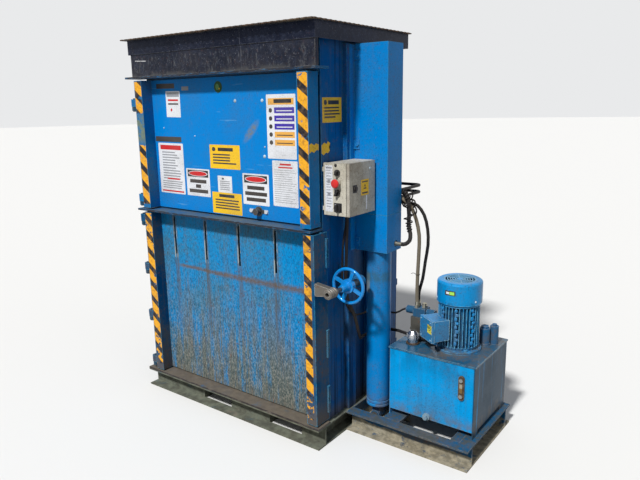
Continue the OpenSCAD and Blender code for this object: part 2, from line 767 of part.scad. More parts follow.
module piston_rods() color([0.75, 0.76, 0.78]) both_sides() translate([cyl_x, 0, 0]) {
    piston_top = cavity_z1 - 2;
    translate([0, 0, piston_top - piston_h]) cylinder(r = barrel_bore_r - run_gap, h = piston_h);
    translate([0, 0, piston_top - 10]) cylinder(r = rod_r, h = beam_z - piston_top + 10);
    translate([0, 0, beam_z - eps]) cylinder(r = rod_r - 4, h = beam_h + eps);
}

// Plate arm on the right wall with the eye that guides the bush
module lock_bracket() color([0.06, 0.30, 0.50]) translate([0, eye_y0, lock_z]) difference() {
    union() {
        translate([0, eye_len / 2 + 5, 0]) rotate([90, 0, 0]) linear_extrude(10)
            polygon([[wall_x, -60], [lock_x, -eye_r], [lock_x, eye_r], [wall_x, 60]]);
        plate([wall_x, 0, -70], [wall_x + 8, eye_len, 70]);
        translate([lock_x, 0, 0]) rotate([-90, 0, 0]) cylinder(r = eye_r, h = eye_len);
    }
    translate([lock_x, -eps, 0]) rotate([-90, 0, 0]) cylinder(r = bush_r + run_gap, h = eye_len + 2 * eps);
}

module lock_bush() color([0.60, 0.50, 0.30]) translate([lock_x, bush_y0, lock_z]) rotate([-90, 0, 0]) difference() {
    cylinder(r = bush_r, h = bush_y1 - bush_y0);
    translate([0, 0, -eps]) cylinder(r = spindle_r + run_gap, h = bush_y1 - bush_y0 + 2 * eps);
}

// Cast wheel: round rim, flat spokes, stepped hub and a long tapered nose towards the door
module handwheel() color([0.10, 0.60, 0.90]) translate([lock_x, wheel_y, lock_z]) difference() {
    union() {
        rotate([90, 0, 0]) rotate_extrude() translate([wheel_r, 0]) circle(r = rim_r, $fn = 32);
        rotate([90, 0, 0]) cylinder(r = hub_r, h = hub_t, center = true);
        rotate([90, 0, 0]) cylinder(r1 = hub_r - 8, r2 = nose_r, h = nose_len);
        for (i = [0 : spokes - 1]) rotate([0, 23 - i * 360 / spokes, 0])
            plate([hub_r - 4, -5, -8], [wheel_r - rim_r / 2, 5, 8]);
    }
    rotate([90, 0, 0]) cylinder(r = spindle_r, h = 4 * nose_len, center = true);
}

module lock_spindle() color([0.55, 0.52, 0.48]) translate([lock_x, 0, lock_z]) rotate([-90, 0, 0]) {
    translate([0, 0, nose_y0]) cylinder(r1 = spindle_r - 3, r2 = spindle_r, h = 6);
    translate([0, 0, nose_y0 + 6]) cylinder(r = spindle_r, h = bush_y1 - nose_y0 - 6 + collar_t);
    translate([0, 0, bush_y1 + seat]) cylinder(r = spindle_r + 7, h = collar_t, $fn = 6);
}

module control_bore(z) {
    translate([panel_x, box_y0 - 10, z]) rotate([-90, 0, 0]) cylinder(r = button_bore_r + run_gap, h = 10 + box_t + eps);
}

// Sheet steel box on four wall pads, open on the side that its door closes
module control_box() color([0.85, 0.83, 0.76]) {
    difference() {
        union() {
            difference() {
                union() {
                    plate([box_back_x, box_y0, box_z], [box_x1, box_y1, box_z + box_h]);
                    plate([box_x0, box_y0, box_z], [box_back_x, box_y0 + 12, box_z + box_h]);
                }
                plate([box_back_x + box_t, box_y0 + box_t, box_z + box_t],
                      [box_x1 - box_t, box_y1 - box_t, box_z + box_h - box_t]);
                plate([box_x1 - 2 * box_t, box_y0 + 10, box_z + 10], [box_x1 + eps, box_y1 - 22, box_z + box_h - 10]);
            }
            translate([panel_x, box_y0, stop_z]) rotate([90, 0, 0]) cylinder(r = 17, h = 5);
        }
        for (z = [stop_z, top_selector_z, mid_selector_z, isolator_z]) control_bore(z);
    }
    for (z = [box_z + 20, box_z + box_h - 40]) {
        plate([wall_x, box_y0 + 2, z], [box_x0, box_y0 + 12, z + 20]);
        plate([wall_x + stiff_out, 2 - stiff_in - stiff_w, z], [box_back_x, -guard_y - 36, z + 20]);
    }
    for (p = gland_points) translate([p[0], p[1], box_z - gland_len]) cylinder(r = 12, h = gland_len);
    for (z = [box_z + 30, box_z + box_h - 50]) {
        translate([door_hinge_x, door_hinge_y, z]) cylinder(r = box_hinge_r, h = 20);
        plate([box_x1 - 1, box_y1 - box_hinge_r - 2, z], [door_hinge_x, box_y1 - box_hinge_r + 2, z + 20]);
    }
}

// Tray-shaped door that shuts over the open side, hinged at the back
module box_door() color([0.80, 0.78, 0.72]) {
    x0 = box_x1 + box_seal;
    x1 = x0 + box_door_t;
    difference() {
        plate([x0, box_y0, box_z], [x1, box_door_y1, box_z + box_h]);
        plate([x0 - eps, box_y0 + box_t, box_z + box_t], [x1 - box_t, box_door_y1 - box_t, box_z + box_h - box_t]);
        translate([x1 - 2 * box_t, box_y0 + 48, box_z + 122]) rotate([0, 90, 0]) cylinder(r = 9 + run_gap, h = 4 * box_t);
    }
    for (z = [box_z + 50 + seat, box_z + box_h - 30 + seat]) {
        translate([door_hinge_x, door_hinge_y, z]) cylinder(r = box_hinge_r, h = 16);
        plate([door_hinge_x, box_door_y1 - box_t, z], [door_hinge_x + 3, door_hinge_y, z + 16]);
    }
}

module box_latch() color([0.08, 0.08, 0.09]) {
    x1 = box_x1 + box_seal + box_door_t;
    translate([x1 - 8, box_y0 + 48, box_z + 122]) rotate([0, 90, 0]) union() {
        cylinder(r = 9, h = 8 + seat);
        translate([0, 0, 8 + seat]) cylinder(r = 13, h = 4);
        translate([0, 0, 12 + seat]) plate([-10, -3, 0], [10, 3, 4]);
        translate([0, 0, 0]) plate([-5, -26, 0], [5, 4, 3]);
    }
}

// Round stem in a bore of the box front, with its head outside
module stem(z) {
    translate([panel_x, box_y0, z]) rotate([90, 0, 0]) translate([0, 0, -14]) cylinder(r = button_bore_r, h = 14 + seat);
}

module stop_button() color([0.85, 0.12, 0.10]) {
    stem(stop_z);
    translate([panel_x, box_y0, stop_z]) rotate([90, 0, 0]) rotate_extrude()
        polygon([[0, seat], [button_bore_r, seat], [button_bore_r, 14], [19, 17], [20, 20], [20, 25], [17, 29],
                 [10, 31], [0, 32]]);
}

module selector(z, grip) {
    stem(z);
    translate([panel_x, box_y0, z]) rotate([90, 0, 0]) union() {
        translate([0, 0, seat]) cylinder(r = 14, h = 8);
        translate([0, 0, 8]) rotate([0, 0, 60]) plate([-grip, -4, 0], [grip, 4, 11]);
    }
}

module selector_top() color([0.07, 0.07, 0.08]) selector(top_selector_z, 11);

module selector_mid() color([0.07, 0.07, 0.08]) selector(mid_selector_z, 15);

module isolator_knob() color([0.07, 0.07, 0.08]) {
    stem(isolator_z);
    translate([panel_x, box_y0, isolator_z]) rotate([90, 0, 0]) union() {
        translate([0, 0, seat]) cylinder(r = 18, h = 8);
        translate([0, 0, 8]) plate([-5, -17, 0], [5, 17, 12]);
    }
}

// Welded tank: its two end plates run down as feet
module tank() color([0.02, 0.52, 0.88]) {
    difference() {
        plate([tank_x0, tank_y, tank_z], [tank_x1, tank_y1, tank_top]);
        plate([tank_x0 + tank_t, tank_y + tank_t, tank_z + tank_t], [tank_x1 - tank_t, tank_y1 - tank_t, tank_top + eps]);
    }
    for (x = [tank_x0, tank_x1 - tank_t]) difference() {
        plate([x, tank_y, base_h], [x + tank_t, tank_y1, tank_z]);
        plate([x - eps, tank_y + 60, base_h - eps], [x + tank_t + eps, tank_y1 - 60, tank_z - 8]);
    }
}

module tank_lid() color([0.15, 0.40, 0.50]) {
    plate([tank_x0 - lid_rim, tank_y - lid_rim, tank_top], [tank_x1 + lid_rim, tank_y1 + lid_rim, lid_top]);
}

module sight_glass() translate([tank_x1 - 62, tank_y, tank_z + 215]) rotate([90, 0, 0]) union() {
    linear_extrude(8) union() {
        square([30, 92], center = true);
        for (s = [-1, 1]) translate([0, s * 46]) circle(15);
    }
    for (s = [-1, 1]) translate([0, s * 40, 8]) cylinder(r = 10, h = 7, $fn = 6);
    translate([-7, -24, 8]) cube([14, 48, 4]);
}

module drain_plug() translate([tank_x0 + 208, tank_y, tank_z + 14]) rotate([90, 0, 0]) union() {
    cylinder(r = 18, h = 8);
    translate([0, 0, 8]) cylinder(r = 12, h = 14, $fn = 6);
}

module filler_neck() translate([filler_x, filler_y, lid_top]) difference() {
    union() {
        cylinder(r = 34, h = 6);
        cylinder(r = 20, h = 16);
    }
    translate([0, 0, 2]) cylinder(r = 14, h = 20);
}

// Level glass and drain plug on the tank's front, and the neck under the filler cap
module tank_fittings() color([0.30, 0.28, 0.26]) {
    sight_glass();
    drain_plug();
    filler_neck();
}

// Filter pot on its flange, with the short pipe to its tall head
module return_filter() color([0.08, 0.08, 0.09]) translate([filter_x, filter_y, lid_top]) {
    cylinder(r = filter_r + 2, h = 10);
    cylinder(r = filter_r, h = 86);
    translate([0, 0, 86]) cylinder(r = 20, h = 12, $fn = 6);
    translate([filter_head[0], filter_head[1], 0]) cylinder(r = 21, h = 92);
    translate([filter_head[0], filter_head[1], 92]) cylinder(r = 12, h = 10, $fn = 6);
}

module filler_cap() color([0.80, 0.80, 0.80]) translate([filler_x, filler_y, lid_top + 6 + seat]) difference() {
    union() {
        cylinder(r = 26, h = 20);
        translate([0, 0, 20]) linear_extrude(26) {
            circle(r = 28);
            for (a = [0:30:330]) rotate(a) translate([25, -3]) square([5, 6]);
        }
        translate([0, 0, 46]) cylinder(r1 = 28, r2 = 18, h = 14);
    }
    translate([0, 0, -eps]) cylinder(r = 20 + run_gap, h = 16);
}

// Finned body on its round flange, with the shaft bore at the fan end
module motor_housing() color([0.02, 0.50, 0.80]) translate([motor_cx, motor_cy, lid_top]) difference() {
    union() {
        cylinder(r = motor_flange_r, h = flange_t);
        translate([0, 0, flange_t]) cylinder(r = motor_r + 8, h = 16);
        translate([0, 0, flange_t + 16]) linear_extrude(motor_len - 26) {
            circle(r = motor_r);
            for (i = [0 : fin_count - 1]) rotate((i + 0.5) * 360 / fin_count)
                translate([motor_r - 2, -1.6]) square([fin_h + 2, 3.2]);
        }
        for (a = [45:90:315]) rotate([0, 0, a]) translate([motor_flange_r - 16, 0, flange_t]) cylinder(r = 10, h = 10, $fn = 6);
        translate([0, 0, flange_t + motor_len - 10]) cylinder(r = motor_r + fin_h + 1.5, h = 10);
    }
    translate([0, 0, flange_t + motor_len - shaft_in - 4]) cylinder(r = shaft_r + run_gap, h = shaft_in + 24);
}

// Terminal box on the side of the motor, turned to the front left, with its gland underneath
module terminal_box() color([0.02, 0.52, 0.85]) translate([motor_cx, motor_cy, motor_z + terminal_z]) rotate([0, 0, 235])
    difference() {
        body_r = motor_r + fin_h + seat;
        lid_u = body_r + terminal_reach;
        hw = 55;
        union() {
            plate([body_r - 30, -hw, 0], [lid_u - 16, hw, 102]);
            plate([lid_u - 16, -hw - 3, -3], [lid_u, hw + 3, 105]);
            for (y = [-hw + 10, hw - 10], z = [8, 94])
                translate([lid_u, y, z]) rotate([0, 90, 0]) cylinder(r = 4, h = 4);
            translate([body_r + 34, 10, -14]) cylinder(r = 15, h = 14, $fn = 6);
            translate([body_r + 34, 10, -30]) cylinder(r = 11, h = 30);
        }
        translate([0, 0, -40]) cylinder(r = body_r, h = 180);
    }

// Pressed cowl with a grille of ring slots over the fan
module fan_cowl() color([0.02, 0.52, 0.88]) translate([motor_cx, motor_cy, cowl_z]) {
    ring_pitch = 12;
    difference() {
        rotate_extrude($fn = 96) polygon([
            [cowl_r, 0], [cowl_r, cowl_h - 10], [cowl_r - 3, cowl_h - 4], [cowl_r - 10, cowl_h], [0, cowl_h],
            [0, cowl_h - cowl_t], [cowl_r - 11, cowl_h - cowl_t], [cowl_r - cowl_t, cowl_h - 12],
            [cowl_r - cowl_t, 0]]);
        translate([0, 0, cowl_h - 2 * cowl_t]) difference() {
            for (r = [14 : ring_pitch : cowl_r - 36]) difference() {
                cylinder(r = r + 7, h = 4 * cowl_t);
                translate([0, 0, -eps]) cylinder(r = r, h = 6 * cowl_t);
            }
            for (a = [0, 60, 120]) rotate([0, 0, a]) plate([-cowl_r, -3, -eps], [cowl_r, 3, 6 * cowl_t]);
        }
    }
    for (a = [45:90:315]) rotate([0, 0, a])
        plate([motor_r + fin_h - 12, -8, -2], [cowl_r - cowl_t, 8, 12]);
}

// Shaft end with its radial fan, under the cowl
module cooling_fan() color([0.20, 0.20, 0.22]) translate([motor_cx, motor_cy, fins_top]) union() {
    translate([0, 0, -shaft_in]) cylinder(r = shaft_r, h = shaft_in + shaft_out);
    translate([0, 0, 18]) cylinder(r = 26, h = fan_h);
    translate([0, 0, 18]) cylinder(r = cowl_r - 18, h = 3);
    for (a = [0:45:315]) rotate([0, 0, a]) plate([20, -1.5, 18], [cowl_r - 18, 1.5, 16 + fan_h]);
}

// Manifold on the lid, beside the motor, with the valve on its top
module valve_block() color([0.35, 0.30, 0.22]) translate([valve_x, valve_y, lid_top]) {
    plate([-40, -38, 0], [40, 38, block_h]);
    translate([-40, 0, 40]) rotate([0, -90, 0]) cylinder(r = 12, h = 18, $fn = 6);
    translate([0, -38, 34]) rotate([90, 0, 0]) cylinder(r = 10, h = 16, $fn = 6);
}

module solenoid_valve() color([0.18, 0.18, 0.20]) translate([valve_x, valve_y, lid_top + block_h]) union() {
    plate([-34, -28, 0], [34, 28, valve_h]);
    for (s = [-1, 1]) translate([s * 34, 0, valve_h / 2]) rotate([0, s * 90, 0]) {
        cylinder(r = 20, h = 44);
        translate([0, 0, 44]) cylinder(r = 9, h = 8);
    }
}

// Straight fitting with its hexagon, from a point along a direction
module fitting(at, turn, r, len) {
    translate(at) rotate(turn) union() {
        cylinder(r = r + 3, h = 14, $fn = 6);
        cylinder(r = r, h = len);
    }
}

module hose_fittings() color([0.72, 0.72, 0.70]) {
    for (p = [grey_route[0], black_route[0]]) fitting([p[0], p[1], valve_top], [0, 0, 0], 10, p[2] - valve_top);
    fitting([valve_x + 20, valve_y - 4, valve_top], [0, 0, 0], 11, 26);
    both_sides() fitting([cyl_x + barrel_r + 6, port_y, port_z], [0, 90, 0], 10, loop_x - cyl_x - barrel_r - 6);
    junction_blocks();
}

// Blocks behind the guards where the hoses meet the cross pipes
module junction_blocks() both_sides()
    plate([junction_x - junction_in, guard_y, junction_z - junction_h],
          [junction_x + junction_out, guard_y + junction_d, junction_z + junction_h]);

// Pipe run of straight lengths and bends: right block, back along the wall, across, left block
module cross_pipe(z, x, y_back) {
    r = 8;
    bend = 30;
    y0 = guard_y + junction_d;
    translate([0, 0, z]) union() {
        both_sides() {
            translate([x, y0, 0]) rotate([-90, 0, 0]) cylinder(r = r, h = y_back - bend - y0);
            translate([x - bend, y_back - bend, 0]) rotate_extrude(angle = 90) translate([bend, 0]) circle(r, $fn = 24);
        }
        translate([bend - x, y_back, 0]) rotate([0, 90, 0]) cylinder(r = r, h = 2 * (x - bend));
    }
}

module cross_pipes() color([0.30, 0.33, 0.36]) {
    cross_pipe(junction_z - 18, cyl_x, rear_d + 36);
    cross_pipe(junction_z + 18, cyl_x, rear_d + 36);
}

// Vector helpers for the swept hoses
function unit(v) = v / norm(v);
function flat_part(n, t) = unit(n - (n * t) * t);
function mid_point(a, b, c, d, u) = 0.5 * ((2 * b) + (c - a) * u + (2 * a - 5 * b + 4 * c - d) * u * u
                                          + (3 * b - a - 3 * c + d) * u * u * u);
function curve(p, n) = let (e = len(p) - 1)
    concat([for (i = [0 : e - 1], k = [0 : n - 1])
        mid_point(p[max(i - 1, 0)], p[i], p[i + 1], p[min(i + 2, e)], k / n)], [p[e]]);
function tangent(p, i) = unit(p[min(i + 1, len(p) - 1)] - p[max(i - 1, 0)]);
function side_vectors(p, i, n) = i == len(p) ? []
    : let (m = flat_part(n, tangent(p, i))) concat([m], side_vectors(p, i + 1, m));

// Tube of one closed skin along a smooth curve through the route's points
module hose(route, r, steps, sides) {
    p = curve(route, steps);
    count = len(p);
    t0 = tangent(p, 0);
    start = abs(t0[2]) < 0.8 ? [0, 0, 1] : [1, 0, 0];
    n = side_vectors(p, 0, start);
    points = [for (i = [0 : count - 1], k = [0 : sides - 1])
        let (t = tangent(p, i), b = cross(t, n[i]), a = 360 * k / sides)
        p[i] + r * (cos(a) * n[i] + sin(a) * b)];
    skin = [for (i = [0 : count - 2], k = [0 : sides - 1])
        let (a = i * sides + k, b = i * sides + (k + 1) % sides) each [[a, a + sides, b + sides], [a, b + sides, b]]];
    ends = [[for (k = [0 : sides - 1]) k], [for (k = [sides - 1 : -1 : 0]) (count - 1) * sides + k]];
    polyhedron(points, concat(skin, ends));
}

// Points that the hoses and cables pass through
grey_route = [[866, 128, 664], [864, 128, 720], [867, 126, 820], [873, 122, 920], [876, 116, 1010],
              [864, 104, 1090], [844, 90, 1150], [816, 84, 1180], [792, 84, 1192], [771, 84, 1194]];
black_route = [[858, 160, 664], [860, 160, 710], [880, 156, 780], [894, 152, 870], [909, 148, 960],
               [909, 140, 1040], [894, 130, 1110], [864, 118, 1156], [830, 110, 1166], [798, 100, 1170],
               [771, 92, 1170]];
loop_x = 834;
loop_route = [[834, 18, 979], [852, 22, 982], [862, 44, 996], [856, 62, 1024], [842, 70, 1064], [842, 72, 1110],
              [840, 70, 1150], [838, 70, 1190], [818, 76, 1222], [796, 84, 1224], [771, 88, 1218]];
motor_route = [[654, -185, 1136], [653, -185, 1080], [648, -184, 980], [644, -183, 880], [642, -181, 780],
               [640, -160, 700], [640, -120, 640], [643, -96, 580], [652, -88, 524], [660, -82, 492],
               [642, -40, 482], [641, 0, 480], [646, 50, 484], [676, 84, 490], [720, 97, 494], [780, 97, 498],
               [860, 97, 488], [905, 97, 484], [944, 92, 484], [985, 50, 484], [1019, 24, 504]];
valve_route = [[629, -153, 1136], [628, -160, 1080], [624, -180, 980], [622, -183, 880], [622, -182, 780],
               [622, -160, 700], [622, -120, 640], [622, -60, 600], [622, 20, 590], [626, 74, 588],
               [680, 88, 588], [760, 96, 592], [782, 130, 604], [796, 144, 609]];

module hose_grey() color([0.45, 0.44, 0.40]) hose(grey_route, 9, 2, 10);

module hose_black() color([0.08, 0.08, 0.08]) hose(black_route, 8, 2, 10);

module hose_loops() color([0.08, 0.08, 0.08]) both_sides() hose(loop_route, 10, 2, 10);

// Supply cable to the motor and the thin cable to the solenoid valve
module cables() color([0.12, 0.10, 0.09]) {
    hose(motor_route, 8, 2, 8);
    hose(valve_route, 5, 2, 8);
}

base_frame();
base_rear();
base_sides();
base_rails();
power_skid();
skid_bars();
left_outrigger();
floor_plate();
side_walls();
rear_wall();
slot_stiffeners();
front_rails();
hood_fascia();
hood_skirt();
roof_sheet();
hinge_brackets();
hinge_pins();
feed_door_frame();
feed_door_sheet();
door_knob();
bale_door_frame();
bale_door_sheet();
lock_nut();
rod_guards();
rod_guards_lower();
guard_rails();
guard_tabs();
cylinders();
foot_pins();
ram_platen();
ram_beam();
piston_rods();
lock_bracket();
lock_bush();
handwheel();
lock_spindle();
control_box();
box_door();
box_latch();
stop_button();
selector_top();
selector_mid();
isolator_knob();
tank();
tank_lid();
tank_fittings();
return_filter();
filler_cap();
motor_housing();
terminal_box();
fan_cowl();
cooling_fan();
valve_block();
solenoid_valve();
hose_fittings();
cross_pipes();
hose_grey();
hose_black();
hose_loops();
cables();
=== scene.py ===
import math
import random

import bmesh
import bpy
from mathutils import Matrix, Vector


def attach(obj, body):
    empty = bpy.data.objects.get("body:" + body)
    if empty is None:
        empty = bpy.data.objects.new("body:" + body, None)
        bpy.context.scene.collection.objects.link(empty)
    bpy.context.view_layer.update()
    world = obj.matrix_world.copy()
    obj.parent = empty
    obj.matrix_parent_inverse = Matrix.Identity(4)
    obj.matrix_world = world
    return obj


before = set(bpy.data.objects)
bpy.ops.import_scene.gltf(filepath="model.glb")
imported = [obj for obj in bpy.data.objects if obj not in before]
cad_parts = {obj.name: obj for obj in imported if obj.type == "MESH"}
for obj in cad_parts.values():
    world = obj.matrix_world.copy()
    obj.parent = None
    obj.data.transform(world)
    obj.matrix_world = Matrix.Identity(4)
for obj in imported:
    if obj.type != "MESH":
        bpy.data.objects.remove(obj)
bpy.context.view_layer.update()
random.seed(48)


# ---- Studio -------------------------------------------------------------------------------------
# A pale floor under an even pale sky. One soft lamp stands high in front of the doors,
# and a weak one on the power unit's side keeps the shaded faces readable.

def srgb(red, green, blue):
    """A colour as it looks on a screen, 0 to 255, as the linear colour that a shader takes."""
    parts = [c / 255 for c in (red, green, blue)]
    return tuple(c / 12.92 if c <= 0.04045 else ((c + 0.055) / 1.055) ** 2.4 for c in parts) + (1.0,)


class Shading:
    """Adds shader nodes to one material, world or shared effect, and joins them up."""

    def __init__(self, tree):
        self.tree = tree

    def node(self, kind, feeds=None, **settings):
        made = self.tree.nodes.new(kind)
        for key, value in settings.items():
            setattr(made, key, value)
        for key, value in (feeds or {}).items():
            self.put(made.inputs[key], value)
        return made

    def put(self, socket, value):
        if isinstance(value, bpy.types.NodeSocket):
            self.tree.links.new(value, socket)
        else:
            socket.default_value = value

    def math(self, operation, a, b=0.0):
        return self.node("ShaderNodeMath", {0: a, 1: b}, operation=operation).outputs[0]

    def plus(self, a, b):
        return self.math("ADD", a, b)

    def minus(self, a, b):
        return self.math("SUBTRACT", a, b)

    def times(self, product, *others):
        for other in others:
            product = self.math("MULTIPLY", product, other)
        return product

    def rise(self, value, low, high):
        """0 at low, 1 at high, smooth between them. It falls where high is the smaller."""
        feeds = {"Value": value, "From Min": low, "From Max": high}
        return self.node("ShaderNodeMapRange", feeds, interpolation_type="SMOOTHSTEP").outputs[0]

    def band(self, value, low, high, soft):
        """1 between low and high, 0 outside them."""
        up = self.rise(value, low - soft, low + soft)
        return self.times(up, self.rise(value, high + soft, high - soft))

    def mix(self, amount, a, b):
        made = self.node("ShaderNodeMix", data_type="RGBA")
        for index, value in ((0, amount), (6, a), (7, b)):
            self.put(made.inputs[index], value)
        return made.outputs[2]

    def place(self):
        return self.node("ShaderNodeTexCoord").outputs["Object"]

    def axes(self):
        return tuple(self.node("ShaderNodeSeparateXYZ", {0: self.place()}).outputs)

    def noise(self, scale, detail=3.0, rough=0.55, stretch=None, shift=(0.0, 0.0, 0.0)):
        """Cloudy noise on the object's own coordinates, which are shifted first and then stretched."""
        at = self.node("ShaderNodeVectorMath", {0: self.place(), 1: shift}, operation="ADD").outputs[0]
        if stretch:
            at = self.node("ShaderNodeVectorMath", {0: at, 1: stretch}, operation="MULTIPLY").outputs[0]
        feeds = {"Vector": at, "Scale": scale, "Detail": detail, "Roughness": rough}
        return self.node("ShaderNodeTexNoise", feeds).outputs[0]

    def patches(self, low, high, *cloud):
        """Noise cut into patches: 0 where it is under low, 1 where it is over high."""
        return self.rise(self.noise(*cloud), low, high)

    def stain(self, tint, mask, amount, colour):
        """A colour laid over tint where mask is 1, and never by more than amount."""
        return self.mix(self.times(mask, amount), tint, colour)


def seen_past(shading, *rays):
    """1 for what the camera and these rays see, 0 for the light that falls on the object."""
    kinds = shading.node("ShaderNodeLightPath").outputs
    seen = kinds["Is Camera Ray"]
    for ray in rays:
        seen = shading.math("MAXIMUM", seen, kinds[ray])
    return seen


FLOOR_RADIUS = 60.0
FLOOR_DROP = 0.0005
floor_mesh = bmesh.new()
bmesh.ops.create_circle(floor_mesh, cap_ends=True, segments=128, radius=FLOOR_RADIUS)
bmesh.ops.translate(floor_mesh, verts=floor_mesh.verts, vec=(0, 0, -FLOOR_DROP))
floor_data = bpy.data.meshes.new("studio_floor")
floor_mesh.to_mesh(floor_data)
floor_mesh.free()
studio_floor = bpy.data.objects.new("studio_floor", floor_data)
bpy.context.scene.collection.objects.link(studio_floor)
floor_paint = bpy.data.materials.new("studio floor")
floor_paint.use_nodes = True
floor_shading = Shading(floor_paint.node_tree)
floor_shader = floor_paint.node_tree.nodes["Principled BSDF"]
floor_seen = seen_past(floor_shading, "Is Glossy Ray")
floor_shading.put(floor_shader.inputs["Base Color"],
                  floor_shading.mix(floor_seen, srgb(150, 148, 142), srgb(226, 225, 222)))
floor_shader.inputs["Roughness"].default_value = 0.85
floor_shader.inputs["Specular IOR Level"].default_value = 0.2
floor_data.materials.append(floor_paint)

world = bpy.data.worlds.new("studio sky")
bpy.context.scene.world = world
world.use_nodes = True
sky = Shading(world.node_tree)
sky_seen = seen_past(sky, "Is Glossy Ray", "Is Transmission Ray")
backdrop = world.node_tree.nodes["Background"]
sky.put(backdrop.inputs["Color"], sky.mix(sky_seen, (0.27, 0.28, 0.30, 1), srgb(233, 234, 235)))
backdrop.inputs["Strength"].default_value = 1.0

for lamp_name, strength, spread, toward in (("front lamp", 3.9, 5.0, (-0.05, 1.0, -1.15)),
                                            ("side lamp", 0.20, 50.0, (-1.0, 0.25, -0.7))):
    lamp = bpy.data.lights.new(lamp_name, "SUN")
    lamp.energy = strength
    lamp.angle = math.radians(spread)
    lamp_object = bpy.data.objects.new(lamp_name, lamp)
    lamp_object.rotation_euler = Vector(toward).to_track_quat("-Z", "Y").to_euler()
    bpy.context.scene.collection.objects.link(lamp_object)

VIEW_FROM = (2.2075, -2.4839, 1.648)
VIEW_TURN, VIEW_DIP, VIEW_TILT = (math.radians(degrees) for degrees in (36.73, 12.77, 1.02))
SENSOR_WIDTH = 36.0
FOCAL_SHARE = 600.55 / 640          # focal length over the width of the picture
ahead = Vector((-math.sin(VIEW_TURN) * math.cos(VIEW_DIP), math.cos(VIEW_TURN) * math.cos(VIEW_DIP),
                -math.sin(VIEW_DIP)))
across = Vector((math.cos(VIEW_TURN), math.sin(VIEW_TURN), 0))
down = ahead.cross(across)
to_right = across * math.cos(VIEW_TILT) + down * math.sin(VIEW_TILT)
to_low = down * math.cos(VIEW_TILT) - across * math.sin(VIEW_TILT)
lens = bpy.data.cameras.new("camera")
lens.sensor_width = SENSOR_WIDTH
lens.lens = FOCAL_SHARE * SENSOR_WIDTH
lens.clip_end = 200.0
camera = bpy.data.objects.new("camera", lens)
camera.matrix_world = (Matrix.Translation(VIEW_FROM)
                       @ Matrix((to_right, -to_low, -ahead)).transposed().to_4x4())
bpy.context.scene.collection.objects.link(camera)
bpy.context.scene.camera = camera
bpy.context.scene.view_settings.view_transform = "Standard"


# ---- Base, floor and outriggers -----------------------------------------------------------------
# Folded steel channel under the chamber, with two fork pockets in the front web. Forklifts and
# years of spilt waste have left it brown and grey, with blue paint only where it is sheltered.

def shared(name, takes, gives):
    """An empty shader node group with named inputs and outputs."""
    tree = bpy.data.node_groups.new(name, "ShaderNodeTree")
    for label, value in takes.items():
        tree.interface.new_socket(label, in_out="INPUT", socket_type="NodeSocketFloat").default_value = value
    for label in gives:
        tree.interface.new_socket(label, in_out="OUTPUT", socket_type="NodeSocketFloat")
    return tree, tree.nodes.new("NodeGroupInput"), tree.nodes.new("NodeGroupOutput")


worn_edges, taken, given = shared("worn edges", {"Reach": 0.006, "Amount": 1.0, "Grain": 45.0}, ["Mask"])
s = Shading(worn_edges)
rounded = s.node("ShaderNodeBevel", {"Radius": taken.outputs["Reach"]}, samples=6)
face_normal = s.node("ShaderNodeNewGeometry").outputs["Normal"]
flatness = s.node("ShaderNodeVectorMath", {0: rounded.outputs[0], 1: face_normal},
                  operation="DOT_PRODUCT").outputs["Value"]
chips = s.rise(s.noise(taken.outputs["Grain"], 5.0, 0.7), 0.36, 0.62)
edge = s.times(s.minus(1.0, flatness), 5.0, chips, taken.outputs["Amount"])
s.put(given.inputs["Mask"], s.rise(edge, 0.12, 0.55))

weather, taken, given = shared("weather", {"Size": 1.0}, ["Blotch", "Run", "Speck", "Grain", "Pepper"])
s = Shading(weather)
size = taken.outputs["Size"]
for gift, cloud in (("Blotch", (s.times(size, 3.1), 6.0, 0.62)),
                    ("Run", (s.times(size, 1.0), 5.0, 0.6, (38.0, 38.0, 1.5))),
                    ("Speck", (s.times(size, 58.0), 4.0, 0.7)),
                    ("Grain", (420.0, 2.0, 0.5)),
                    ("Pepper", (150.0, 3.0, 0.8, None, (3.0, 1.0, 2.0)))):
    s.put(given.inputs[gift], s.noise(*cloud))

DIRT = srgb(96, 84, 68)
RUST = srgb(116, 62, 34)
BARE = srgb(134, 136, 134)
PIT = srgb(22, 32, 38)
WORN_BLUE = srgb(70, 142, 172)
SUN_BLUE = (0.004, 0.27, 0.46, 1.0)


